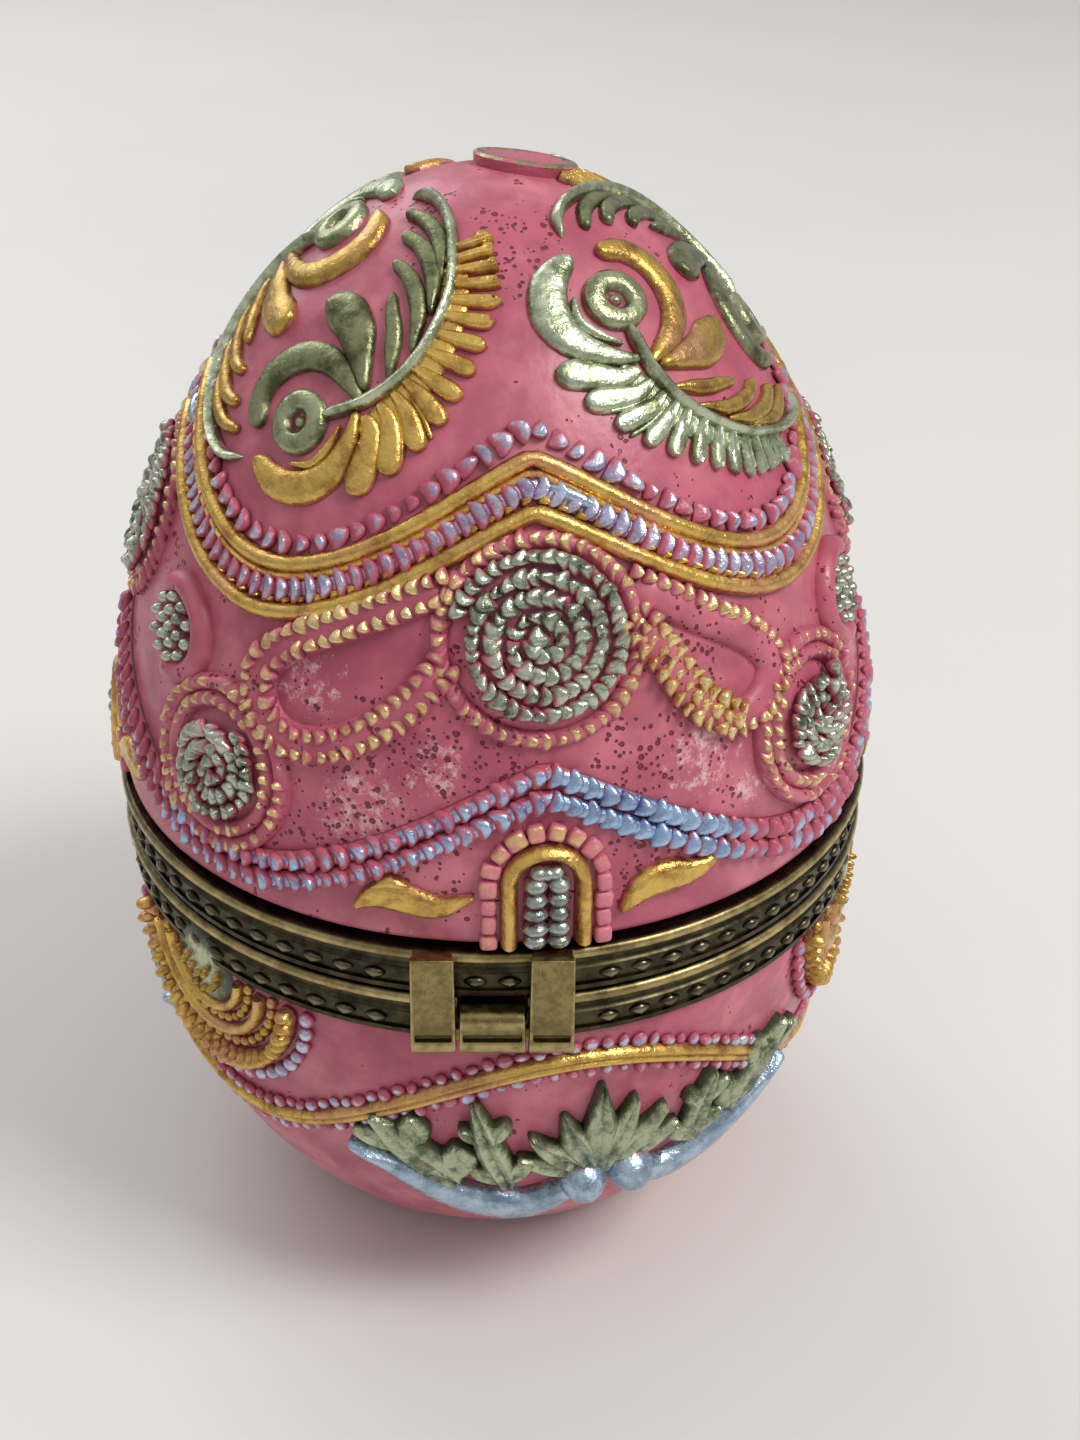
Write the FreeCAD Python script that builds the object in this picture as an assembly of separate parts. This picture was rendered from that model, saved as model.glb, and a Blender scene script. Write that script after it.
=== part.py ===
import FreeCAD, Part
import math
import os
from FreeCAD import Vector

os.makedirs("parts", exist_ok=True)

# A hinged egg-shaped trinket box. Millimetres, +Z up, the origin at the centre
# of the foot on the table. The hinge is on the -Y side, the clasp on the +Y side.

# ---- the egg's cast ground, without the raised ornament
EGG_RADIUS = 27.2          # at the widest level
EGG_HEIGHT = 78.9
WIDEST_LEVEL = 38.6        # height of the widest level above the table
FOOT_RADIUS = 13.6
LID_POINT = 1.65           # 2 gives a half ellipse, less is more pointed
BASE_BELLY = 2.9           # 2 gives a half ellipse, more is fuller
BOSS_RADIUS = 3.3          # the flat raised disc, cast a little off the tip
BOSS_RISE = 0.6
BOSS_X = 2.1
BOSS_Y = 1.6

# ---- the hollow inside
LID_WALL = 3.55            # at the widest level
LID_CROWN = 4.2            # wall at the tip
BASE_WALL = 4.45           # at the widest level
FLOOR = 6.0                # wall under the cavity
FLOOR_RADIUS = 10.0

# ---- the metal bezels round both rims
PARTING_LEVEL = 33.9       # middle of the gap between lid and base
PARTING_GAP = 0.2
BEZEL_HEIGHT = 3.4
BEZEL_INSET = 1.2          # bore inside the egg's widest radius
BEZEL_BAND_STANDS = 0.1    # beaded band outside the egg's widest radius
BEZEL_RIDGE_STANDS = 0.6   # half-round ridge outside the egg's widest radius
RIDGE_HEIGHT = 0.85
HOLLOW_HEIGHT = 1.02       # concave band between beads and ridge
HOLLOW_DEPTH = 0.3
BEZEL_LIP = 0.2            # small lip along the lower edge
BEZEL_LIP_HEIGHT = 0.35
CEMENT = 0.5               # cement ring between a bezel and the resin rim
RIM_RECESS = 0.2           # how far the resin rim stays behind the bezel's edge
SHOULDER_GAP = 0.35        # dark gap between a bezel and the resin shoulder

# ---- the collar that centres the lid
COLLAR_WALL = 0.5
COLLAR_RISE = 1.7          # above the parting level
COLLAR_DEPTH = 3.8         # below the parting level

# ---- the hinge
PIN_RADIUS = 0.5
PIN_RUNNING_GAP = 0.05     # radial, in the two straps
PIN_LEVEL = 31.1
KNUCKLE_RADIUS = 1.25
KNUCKLE_CLEARANCE = 0.15   # between the turning knuckles and the base
STRAP_THICKNESS = 0.6
STRAP_WIDTH = 2.8
STRAP_TOP_ABOVE_BEZEL = 0.5
TAB_WIDTH = 4.2
KNUCKLE_SIDE_GAP = 0.25
TAB_LEAF = 0.5             # thickness of the centre knuckle's leaf
WINDOW_SIDE_GAP = 0.15     # beside the leaf in the base bezel
WINDOW_BACK_WALL = 0.8     # resin left between the window and the collar
SOLDER_INSET = 0.1         # solder foot below the bezel's top edge
STRAP_STANDOFF = 0.6       # strap's inner face outside the ridge

# ---- the snap clasp
TONGUE_WIDTH = 5.0
TONGUE_THICKNESS = 0.6
TONGUE_STANDOFF = 0.55     # tongue's inner face outside the ridge
TONGUE_DROP = 3.0          # below the parting level
THUMB_LIP_REACH = 0.9
THUMB_LIP_HEIGHT = 0.6
CATCH_RADIUS = 1.2
CATCH_GAP = 0.15           # between the catch's dome and the tongue

SPARE = 5.0                # how far a cutting shape passes its work
CURVE_STEPS = 12           # spans in half of the egg's outline

# ---- places worked out from the sizes above
LID_BORE_RADIUS = EGG_RADIUS - LID_WALL
BASE_BORE_RADIUS = EGG_RADIUS - BASE_WALL
BEZEL_BORE_RADIUS = EGG_RADIUS - BEZEL_INSET
BEZEL_BAND_RADIUS = EGG_RADIUS + BEZEL_BAND_STANDS
BEZEL_RIDGE_RADIUS = EGG_RADIUS + BEZEL_RIDGE_STANDS
LID_BEZEL_LEVEL = PARTING_LEVEL + PARTING_GAP / 2
BASE_BEZEL_LEVEL = PARTING_LEVEL - PARTING_GAP / 2 - BEZEL_HEIGHT
RIM_RADIUS = BEZEL_BORE_RADIUS - CEMENT
COLLAR_RADIUS = BASE_BORE_RADIUS + COLLAR_WALL
LID_SHOULDER = LID_BEZEL_LEVEL + BEZEL_HEIGHT + SHOULDER_GAP
BASE_SHOULDER = BASE_BEZEL_LEVEL - SHOULDER_GAP / 2
STRAP_INNER_Y = -(BEZEL_RIDGE_RADIUS + STRAP_STANDOFF)
STRAP_OUTER_Y = STRAP_INNER_Y - STRAP_THICKNESS
PIN_Y = STRAP_OUTER_Y + KNUCKLE_RADIUS
STRAP_NEAR_X = TAB_WIDTH / 2 + KNUCKLE_SIDE_GAP
HINGE_HALF_WIDTH = STRAP_NEAR_X + STRAP_WIDTH
CLEARANCE_RADIUS = KNUCKLE_RADIUS + KNUCKLE_CLEARANCE
TONGUE_INNER_Y = BEZEL_RIDGE_RADIUS + TONGUE_STANDOFF
RIDGE_LOW = BEZEL_HEIGHT - RIDGE_HEIGHT
HOLLOW_MIDDLE = RIDGE_LOW - HOLLOW_HEIGHT / 2
BAND_TOP = RIDGE_LOW - HOLLOW_HEIGHT

X_AXIS = Vector(1, 0, 0)
Z_AXIS = Vector(0, 0, 1)


def at(radius, level):
    """A point of a turned outline."""
    return Vector(radius, 0, level)


def lid_curve(radius, tip):
    """Upper half of the egg, from the widest level to the tip."""
    points = []
    for step in range(CURVE_STEPS + 1):
        rise = math.sin(math.pi / 2 * step / CURVE_STEPS)
        reach = math.sqrt(max(0.0, 1 - rise ** LID_POINT))
        points.append(at(radius * reach, WIDEST_LEVEL + (tip - WIDEST_LEVEL) * rise))
    return points


def base_curve(radius, foot_radius, foot_level):
    """Lower half of the egg, from the foot up to the widest level."""
    points = []
    for step in range(CURVE_STEPS + 1):
        drop = 1 - step / CURVE_STEPS
        reach = math.sqrt(1 - (1 - (foot_radius / radius) ** 2) * drop ** BASE_BELLY)
        points.append(at(radius * reach, WIDEST_LEVEL - (WIDEST_LEVEL - foot_level) * drop))
    return points


def spline(points):
    curve = Part.BSplineCurve()
    curve.interpolate(points)
    return curve.toShape()


def lines(points):
    return [Part.LineSegment(a, b).toShape() for a, b in zip(points, points[1:])]


def turned(edges):
    """Solid of revolution about Z from a closed outline."""
    wire = Part.Wire(Part.__sortEdges__(edges))
    return Part.Face(wire).revolve(Vector(0, 0, 0), Z_AXIS, 360)


def ring(inner, outer, low, high):
    tube = Part.makeCylinder(outer, high - low, Vector(0, 0, low))
    return tube.cut(Part.makeCylinder(inner, high - low, Vector(0, 0, low)))


def box(x_low, x_high, y_low, y_high, z_low, z_high):
    return Part.makeBox(x_high - x_low, y_high - y_low, z_high - z_low, Vector(x_low, y_low, z_low))


def rod(radius, x_low, x_high):
    """A cylinder on the hinge axis."""
    return Part.makeCylinder(radius, x_high - x_low, Vector(x_low, PIN_Y, PIN_LEVEL), X_AXIS)


def egg_solid(radius, tip, foot_radius, foot_level):
    """Whole egg outline turned into one solid."""
    lower = base_curve(radius, foot_radius, foot_level)
    upper = lid_curve(radius, tip)
    upper[-1] = at(0, tip)
    closing = lines([at(0, tip), at(0, foot_level), lower[0]])
    return turned([spline(lower), spline(upper)] + closing)


def slab(low, high):
    """Everything between two levels."""
    reach = EGG_RADIUS + SPARE
    return box(-reach, reach, -reach, reach, low, high)


def tip_boss():
    """The disc beside the tip, square to the ground it stands on."""
    reach = math.hypot(BOSS_X, BOSS_Y)
    inside = 1 - (reach / EGG_RADIUS) ** 2
    climb = EGG_HEIGHT - WIDEST_LEVEL
    level = WIDEST_LEVEL + climb * inside ** (1 / LID_POINT)
    slope = 2 * climb / LID_POINT * inside ** (1 / LID_POINT - 1) / EGG_RADIUS ** 2
    axis = Vector(slope * BOSS_X, slope * BOSS_Y, 1).normalize()
    root = LID_CROWN / 2
    foot = Vector(BOSS_X, BOSS_Y, level) - axis * root
    return Part.makeCylinder(BOSS_RADIUS, root + BOSS_RISE, foot, axis)


def make_lid_shell():
    outside = egg_solid(EGG_RADIUS, EGG_HEIGHT, FOOT_RADIUS, 0)
    crown = outside.common(slab(LID_SHOULDER, EGG_HEIGHT + SPARE)).fuse(tip_boss())
    rim_low = LID_BEZEL_LEVEL + RIM_RECESS
    rim = Part.makeCylinder(RIM_RADIUS, LID_SHOULDER - rim_low, Vector(0, 0, rim_low))
    hollow = egg_solid(LID_BORE_RADIUS, EGG_HEIGHT - LID_CROWN, FLOOR_RADIUS, FLOOR)
    return crown.fuse(rim).cut(hollow).removeSplitter()


def make_base_shell():
    outside = egg_solid(EGG_RADIUS, EGG_HEIGHT, FOOT_RADIUS, 0)
    bowl = outside.common(slab(-SPARE, BASE_SHOULDER))
    rim_top = PARTING_LEVEL - PARTING_GAP / 2 - RIM_RECESS
    rim = Part.makeCylinder(RIM_RADIUS, rim_top - BASE_SHOULDER, Vector(0, 0, BASE_SHOULDER))
    hollow = egg_solid(BASE_BORE_RADIUS, EGG_HEIGHT - LID_CROWN, FLOOR_RADIUS, FLOOR)
    seat_low = PARTING_LEVEL - COLLAR_DEPTH
    seat = Part.makeCylinder(COLLAR_RADIUS, PARTING_LEVEL - seat_low, Vector(0, 0, seat_low))
    room_half = HINGE_HALF_WIDTH + WINDOW_SIDE_GAP
    knuckle_room = rod(CLEARANCE_RADIUS, -room_half, room_half)
    window_half = TAB_WIDTH / 2 + WINDOW_SIDE_GAP
    window_pocket = box(-window_half, window_half, -RIM_RADIUS, -(COLLAR_RADIUS + WINDOW_BACK_WALL),
                        PIN_LEVEL + KNUCKLE_RADIUS, PARTING_LEVEL)
    shell = bowl.fuse(rim).cut(hollow).cut(seat)
    return shell.cut(knuckle_room).cut(window_pocket).removeSplitter()


def bezel(level):
    """One brass band: lower lip, flat beaded band, hollow, half-round ridge."""
    lip = at(BEZEL_BAND_RADIUS + BEZEL_LIP, level)
    lip_top = at(BEZEL_BAND_RADIUS + BEZEL_LIP, level + BEZEL_LIP_HEIGHT)
    band_low = at(BEZEL_BAND_RADIUS, level + BEZEL_LIP_HEIGHT)
    band_top = at(BEZEL_BAND_RADIUS, level + BAND_TOP)
    hollow_middle = at(BEZEL_BAND_RADIUS - HOLLOW_DEPTH, level + HOLLOW_MIDDLE)
    ridge_low = at(BEZEL_BAND_RADIUS, level + RIDGE_LOW)
    ridge_middle = at(BEZEL_RIDGE_RADIUS, level + BEZEL_HEIGHT - RIDGE_HEIGHT / 2)
    ridge_top = at(BEZEL_BAND_RADIUS, level + BEZEL_HEIGHT)
    inner_top = at(BEZEL_BORE_RADIUS, level + BEZEL_HEIGHT)
    inner_low = at(BEZEL_BORE_RADIUS, level)
    edges = lines([inner_top, inner_low, lip, lip_top, band_low, band_top])
    edges.append(Part.Arc(band_top, hollow_middle, ridge_low).toShape())
    edges.append(Part.Arc(ridge_low, ridge_middle, ridge_top).toShape())
    edges += lines([ridge_top, inner_top])
    return turned(edges)


def make_base_bezel():
    room_half = HINGE_HALF_WIDTH + WINDOW_SIDE_GAP
    window_half = TAB_WIDTH / 2 + WINDOW_SIDE_GAP
    window = box(-window_half, window_half, -BEZEL_RIDGE_RADIUS - SPARE, -BEZEL_BORE_RADIUS + SPARE,
                 PIN_LEVEL, PARTING_LEVEL)
    knuckle_room = rod(CLEARANCE_RADIUS, -room_half, room_half)
    return bezel(BASE_BEZEL_LEVEL).cut(knuckle_room).cut(window)


def make_lid_cement():
    low = LID_BEZEL_LEVEL + RIM_RECESS
    return ring(RIM_RADIUS, BEZEL_BORE_RADIUS, low, LID_BEZEL_LEVEL + BEZEL_HEIGHT - RIM_RECESS)


def tab_gap():
    """The way the centre knuckle's leaf takes through the base bezel and its cement."""
    window_half = TAB_WIDTH / 2 + WINDOW_SIDE_GAP
    return box(-window_half, window_half, -BEZEL_RIDGE_RADIUS, -RIM_RADIUS + SPARE,
               BASE_BEZEL_LEVEL, PARTING_LEVEL)


def make_base_cement():
    low = BASE_BEZEL_LEVEL + RIM_RECESS
    high = PARTING_LEVEL - PARTING_GAP / 2 - RIM_RECESS
    return ring(RIM_RADIUS, BEZEL_BORE_RADIUS, low, high).cut(tab_gap())


def make_locating_collar():
    low = PARTING_LEVEL - COLLAR_DEPTH
    return ring(BASE_BORE_RADIUS, COLLAR_RADIUS, low, PARTING_LEVEL + COLLAR_RISE)


def make_hinge_strap(side):
    """Strap soldered on the lid bezel and rolled round the pin; side is -1 or 1."""
    near, far = sorted((side * STRAP_NEAR_X, side * HINGE_HALF_WIDTH))
    top = LID_BEZEL_LEVEL + BEZEL_HEIGHT + STRAP_TOP_ABOVE_BEZEL
    plate = box(near, far, STRAP_OUTER_Y, STRAP_INNER_Y, PIN_LEVEL, top)
    foot = box(near, far, STRAP_INNER_Y, -BEZEL_BORE_RADIUS,
               LID_BEZEL_LEVEL + BEZEL_LIP_HEIGHT, LID_BEZEL_LEVEL + BEZEL_HEIGHT - SOLDER_INSET)
    foot = foot.cut(bezel(LID_BEZEL_LEVEL))
    foot = foot.cut(Part.makeCylinder(BEZEL_BORE_RADIUS, EGG_HEIGHT))
    strap = plate.fuse(foot).fuse(rod(KNUCKLE_RADIUS, near, far))
    return strap.cut(rod(PIN_RADIUS + PIN_RUNNING_GAP, near, far)).removeSplitter()


def make_hinge_tab():
    """Centre knuckle with a leaf through the window, soldered behind the base bezel."""
    half = TAB_WIDTH / 2
    top = PIN_LEVEL + KNUCKLE_RADIUS
    web = box(-half, half, PIN_Y, -RIM_RADIUS + SPARE, top - TAB_LEAF, top)
    web = web.cut(Part.makeCylinder(RIM_RADIUS, EGG_HEIGHT))
    leaf = box(-half, half, -BEZEL_BORE_RADIUS, -RIM_RADIUS + SPARE, BASE_BEZEL_LEVEL + RIM_RECESS, top)
    leaf = leaf.common(ring(RIM_RADIUS, BEZEL_BORE_RADIUS, BASE_BEZEL_LEVEL, PARTING_LEVEL))
    knuckle = rod(KNUCKLE_RADIUS, -half, half)
    tab = knuckle.fuse(web).fuse(leaf)
    return tab.cut(rod(PIN_RADIUS, -half, half)).cut(make_base_bezel()).removeSplitter()


def make_clasp_tongue():
    """Springy tongue on the lid bezel with a thumb lip at its lower end."""
    half = TONGUE_WIDTH / 2
    low = PARTING_LEVEL - TONGUE_DROP
    outer_y = TONGUE_INNER_Y + TONGUE_THICKNESS
    top = LID_BEZEL_LEVEL + BEZEL_HEIGHT
    plate = box(-half, half, TONGUE_INNER_Y, outer_y, low, top)
    lip = box(-half, half, outer_y, outer_y + THUMB_LIP_REACH, low, low + THUMB_LIP_HEIGHT)
    foot = box(-half, half, BEZEL_BORE_RADIUS, TONGUE_INNER_Y,
               LID_BEZEL_LEVEL + BEZEL_LIP_HEIGHT, top - SOLDER_INSET)
    foot = foot.cut(bezel(LID_BEZEL_LEVEL))
    foot = foot.cut(Part.makeCylinder(BEZEL_BORE_RADIUS, EGG_HEIGHT))
    return plate.fuse(lip).fuse(foot).removeSplitter()


def make_clasp_catch():
    """Low domed stud on the base bezel, behind the tongue."""
    level = BASE_BEZEL_LEVEL + HOLLOW_MIDDLE
    tip = TONGUE_INNER_Y - CATCH_GAP
    dome = Part.makeSphere(CATCH_RADIUS, Vector(0, tip - CATCH_RADIUS, level))
    outside = box(-CATCH_RADIUS, CATCH_RADIUS, BEZEL_BAND_RADIUS - HOLLOW_DEPTH, tip,
                  level - CATCH_RADIUS, level + CATCH_RADIUS)
    return dome.common(outside).cut(bezel(BASE_BEZEL_LEVEL))


PIECES = {
    "lid_shell": make_lid_shell(),
    "base_shell": make_base_shell(),
    "lid_bezel": bezel(LID_BEZEL_LEVEL),
    "base_bezel": make_base_bezel(),
    "lid_cement": make_lid_cement(),
    "base_cement": make_base_cement(),
    "locating_collar": make_locating_collar(),
    "hinge_strap_left": make_hinge_strap(-1),
    "hinge_strap_right": make_hinge_strap(1),
    "hinge_tab": make_hinge_tab(),
    "hinge_pin": rod(PIN_RADIUS, -HINGE_HALF_WIDTH, HINGE_HALF_WIDTH),
    "clasp_tongue": make_clasp_tongue(),
    "clasp_catch": make_clasp_catch(),
}

for node, shape in PIECES.items():
    solids = shape.Solids
    piece = solids[0] if len(solids) == 1 else Part.makeCompound(solids)
    piece.exportStep("parts/" + node + ".step")
    extent = piece.BoundBox
    print(node, "solids", len(solids), "valid", piece.isValid(), "volume", round(piece.Volume, 1),
          "Y", round(extent.YMin, 2), round(extent.YMax, 2),
          "Z", round(extent.ZMin, 2), round(extent.ZMax, 2))
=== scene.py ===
import math
import random

import bpy
import numpy as np
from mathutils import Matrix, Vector


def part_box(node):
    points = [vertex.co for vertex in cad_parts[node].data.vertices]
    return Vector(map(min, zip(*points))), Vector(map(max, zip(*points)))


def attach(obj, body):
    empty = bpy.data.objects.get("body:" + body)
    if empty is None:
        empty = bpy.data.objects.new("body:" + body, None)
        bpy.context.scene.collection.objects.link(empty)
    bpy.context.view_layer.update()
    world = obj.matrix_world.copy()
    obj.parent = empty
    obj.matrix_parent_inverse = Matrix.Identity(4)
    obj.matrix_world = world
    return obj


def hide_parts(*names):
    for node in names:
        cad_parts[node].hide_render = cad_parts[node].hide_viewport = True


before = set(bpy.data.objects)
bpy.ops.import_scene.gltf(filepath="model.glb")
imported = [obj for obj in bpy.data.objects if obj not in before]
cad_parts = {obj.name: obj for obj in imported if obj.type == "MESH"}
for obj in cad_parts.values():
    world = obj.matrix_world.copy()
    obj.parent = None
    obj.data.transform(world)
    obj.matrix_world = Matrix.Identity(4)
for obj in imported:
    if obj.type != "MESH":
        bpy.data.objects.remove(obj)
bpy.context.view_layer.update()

random.seed(7)
MM = 0.001

# ---- sizes in millimetres, taken from the frame where it holds them
LID_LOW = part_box("lid_shell")[0] / MM
BASE_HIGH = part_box("base_shell")[1] / MM
LID_BAND_LOW, LID_BAND_HIGH = [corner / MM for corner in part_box("lid_bezel")]
BASE_BAND_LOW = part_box("base_bezel")[0] / MM
STRAP_LOW, STRAP_HIGH = [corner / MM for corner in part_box("hinge_strap_right")]
TAB_LOW, TAB_HIGH = [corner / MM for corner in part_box("hinge_tab")]
PIN_LOW, PIN_HIGH = [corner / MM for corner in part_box("hinge_pin")]
TONGUE_LOW, TONGUE_HIGH = [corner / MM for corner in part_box("clasp_tongue")]
COLLAR_LOW, COLLAR_HIGH = [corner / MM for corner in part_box("locating_collar")]
BAND_INNER_Y = -26.9       # inside the lid band, where the straps are soldered on
PIN_Y = (PIN_LOW.y + PIN_HIGH.y) / 2
PIN_Z = (PIN_LOW.z + PIN_HIGH.z) / 2

# ---- the egg's ground
EGG_RADIUS = 27.2
EGG_TIP = 78.9
BOSS_RADIUS = 3.3
BOSS_REACH = 2.64          # how far the disc is cast from the tip
BOSS_AZIMUTH = 127.0
WIDEST = 38.6
FOOT_RADIUS = 13.6
LID_POINT = 1.65
BASE_BELLY = 2.9
LID_BORE = 23.65
LID_CROWN = 4.2
BASE_BORE = 22.75
FLOOR_RADIUS = 10.0
FLOOR = 6.0
RIM_RADIUS = 25.5
SHOULDER_GAP = 0.35
LID_SHOULDER = LID_BAND_HIGH.z + SHOULDER_GAP
BASE_SHOULDER = BASE_BAND_LOW.z - SHOULDER_GAP / 2

# ---- how the ornament is turned and repeated
LID_TURN = 7.0             # azimuth of the first cusp, from the hinge towards +X
BASE_TURN = 12.5           # azimuth of the first garland
LID_CUSPS = [LID_TURN + 90 * k for k in range(4)]
LID_VALLEYS = [(LID_TURN + 45 + 180 * k, 47.8) for k in range(2)]     # azimuth, level
LID_VALLEYS += [(LID_TURN - 48 + 180 * k, 46.5) for k in range(2)]
GARLANDS = [BASE_TURN + 120 * k for k in range(3)]
FANS = [BASE_TURN + 60 + 120 * k for k in range(3)]
# azimuth, turn and number of halves of each medallion
MEDALLIONS = [(66.0, -148.0, 2), (-52.0, 0.0, 2), (121.0, 0.0, 1), (253.0, 180.0, 1)]
MEDALLION_LEVEL = 72.0
ROSETTE_LEVEL = 57.0
ARCH_LEVEL = 41.5
GARLAND_LEVEL = 18.0


# ------------------------------------------------------------------ the ground
def egg_radius(level, radius=EGG_RADIUS, tip=EGG_TIP, foot_radius=FOOT_RADIUS, foot=0.0):
    """Radius of the egg at a level, for the outside or for one of the hollows."""
    level = np.asarray(level, float)
    rise = np.clip((level - WIDEST) / (tip - WIDEST), 0, 1)
    drop = np.clip((WIDEST - level) / (WIDEST - foot), 0, 1)
    upper = radius * np.sqrt(1 - rise ** LID_POINT)
    lower = radius * np.sqrt(1 - (1 - (foot_radius / radius) ** 2) * drop ** BASE_BELLY)
    return np.where(level >= WIDEST, upper, lower)


def normals(points):
    """Outward normals of the ground under the given points."""
    step = 0.05
    level = np.clip(points[:, 2], step, EGG_TIP - step * 2)
    slope = (egg_radius(level + step) - egg_radius(level - step)) / (2 * step)
    across = np.hypot(points[:, 0], points[:, 1]) + 1e-9
    out = np.stack([points[:, 0] / across, points[:, 1] / across, -slope], -1)
    return out / np.linalg.norm(out, axis=1, keepdims=True)


def egg_points(azimuths, levels):
    """Points on the ground from azimuth in degrees and level."""
    turn = np.radians(np.asarray(azimuths, float))
    reach = egg_radius(levels)
    return np.stack([reach * np.sin(turn), -reach * np.cos(turn), np.asarray(levels, float) + 0 * turn], -1)


def wrap(flat, azimuth, level, turn=0.0):
    """Lays flat points (right, up, height) on the egg, as a soft sheet pressed on from outside."""
    flat = np.asarray(flat, float)
    spin = math.radians(turn)
    right = flat[:, 0] * math.cos(spin) - flat[:, 1] * math.sin(spin)
    up = flat[:, 0] * math.sin(spin) + flat[:, 1] * math.cos(spin)
    centre = egg_points([azimuth], [level])
    normal = normals(centre)[0]
    around = np.array([math.cos(math.radians(azimuth)), math.sin(math.radians(azimuth)), 0])
    along = np.cross(normal, around)
    start = centre[0] + right[:, None] * around + up[:, None] * along
    outer = np.full(len(flat), 5.0)
    inner = np.full(len(flat), -16.0)
    for _ in range(34):
        middle = (outer + inner) / 2
        at = start + middle[:, None] * normal
        outside = np.hypot(at[:, 0], at[:, 1]) > egg_radius(np.clip(at[:, 2], 0, EGG_TIP))
        outer = np.where(outside, middle, outer)
        inner = np.where(outside, inner, middle)
    at = start + ((outer + inner) / 2)[:, None] * normal
    return at + flat[:, 2:3] * normals(at)


def smooth_line(points, steps=12):
    """Catmull-Rom curve through a few given points."""
    points = np.asarray(points, float)
    count = len(points)
    out = []
    for k in range(count - 1):
        b, c = points[k], points[k + 1]
        a = points[k - 1] if k else 2 * b - c
        d = points[k + 2] if k + 2 < count else 2 * c - b
        for step in range(steps):
            t = step / steps
            out.append(0.5 * (2 * b + (c - a) * t + (2 * a - 5 * b + 4 * c - d) * t * t
                              + (3 * b - a - 3 * c + d) * t ** 3))
    out.append(points[-1])
    return np.array(out)


def flat_line(points, azimuth, level, turn=0.0):
    """A smooth curve drawn flat and laid on the egg."""
    curve = smooth_line(points)
    return wrap(np.column_stack([curve, np.zeros(len(curve))]), azimuth, level, turn)


def ring_line(radius, azimuth, level):
    angles = np.linspace(0, 2 * math.pi, 72, endpoint=False)
    flat = np.stack([radius * np.cos(angles), radius * np.sin(angles), 0 * angles], -1)
    return wrap(flat, azimuth, level)


def stations(line, pitch, closed=False):
    """Evenly spaced places on a line: point, tangent, side and normal."""
    points = np.vstack([line, line[:1]]) if closed else line
    lengths = np.linalg.norm(np.diff(points, axis=0), axis=1)
    run = np.concatenate([[0], np.cumsum(lengths)])
    count = max(2, int(round(run[-1] / pitch)))
    marks = (np.arange(count) + 0.5) * run[-1] / count if closed else np.linspace(0, run[-1], count + 1)

    def along(where):
        where = np.mod(where, run[-1]) if closed else np.clip(where, 0, run[-1])
        return np.stack([np.interp(where, run, points[:, k]) for k in range(3)], -1)

    place = along(marks)
    reach = min(pitch * 0.5, run[-1] * 0.05)
    tangent = along(marks + reach) - along(marks - reach)
    tangent /= np.linalg.norm(tangent, axis=1, keepdims=True)
    normal = normals(place)
    side = np.cross(normal, tangent)
    side /= np.linalg.norm(side, axis=1, keepdims=True)
    return place, tangent, side, normal


# ------------------------------------------------------------------ shapes that repeat
def clear_selection():
    if bpy.context.object and bpy.context.object.mode != "OBJECT":
        bpy.ops.object.mode_set(mode="OBJECT")
    bpy.ops.object.select_all(action="DESELECT")


def pick(piece):
    """Makes a piece the only one selected, and the active one."""
    clear_selection()
    bpy.context.view_layer.objects.active = piece
    piece.select_set(True)


def put_in_scene(name, data):
    thing = bpy.data.objects.new(name, data)
    bpy.context.scene.collection.objects.link(thing)
    return thing


def apply_modifier(piece, kind, **settings):
    """Adds a modifier to the active piece and makes it permanent."""
    modifier = piece.modifiers.new(kind.lower(), kind)
    for key, value in settings.items():
        setattr(modifier, key, value)
    bpy.ops.object.modifier_apply(modifier=modifier.name)


def take(obj):
    """Corners and faces of a shape made for copying; the shape itself is put away."""
    corners = np.array([list(v.co) for v in obj.data.vertices])
    faces = [tuple(p.vertices) for p in obj.data.polygons]
    bpy.data.objects.remove(obj)
    return corners, faces


def select_where(obj, test):
    """Selects the corners that pass a test, in edit mode."""
    bpy.ops.object.mode_set(mode="OBJECT")
    for vertex in obj.data.vertices:
        vertex.select = bool(test(vertex.co))
    bpy.ops.object.mode_set(mode="EDIT")


def make_grain():
    """A small cast bead, flat where it sits."""
    clear_selection()
    bpy.ops.mesh.primitive_uv_sphere_add(segments=8, ring_count=6, radius=0.5)
    grain = bpy.context.object
    bpy.ops.object.mode_set(mode="EDIT")
    bpy.ops.mesh.select_all(action="DESELECT")
    bpy.ops.mesh.select_mode(type="VERT")
    select_where(grain, lambda co: co.z < -0.3)
    bpy.ops.transform.resize(value=(1.0, 1.0, 0.3), center_override=(0, 0, -0.25))
    bpy.ops.object.mode_set(mode="OBJECT")
    return take(grain)


def make_link():
    """One bowed link of a cast rope: a soft crest in front, a slope behind."""
    clear_selection()
    bpy.ops.mesh.primitive_uv_sphere_add(segments=10, ring_count=8, radius=0.5,
                                         rotation=(math.pi / 2, 0, 0))
    bpy.ops.object.transform_apply(location=False, rotation=True, scale=False)
    corners, faces = take(bpy.context.object)
    corners[:, 2] = np.maximum(corners[:, 2], -0.25)
    corners[:, 2] *= np.where(corners[:, 2] > 0, 0.5 + 1.0 * (corners[:, 0] + 0.5), 1)
    corners[:, 0] -= 1.3 * corners[:, 1] ** 2 - 0.1
    return corners, faces


def make_block():
    """One rounded block of the beading round an arch."""
    clear_selection()
    bpy.ops.mesh.primitive_cube_add(size=1)
    block = bpy.context.object
    bpy.ops.object.mode_set(mode="EDIT")
    bpy.ops.mesh.select_all(action="SELECT")
    bpy.ops.mesh.bevel(offset=0.24, segments=2)
    bpy.ops.object.mode_set(mode="OBJECT")
    return take(block)


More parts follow.
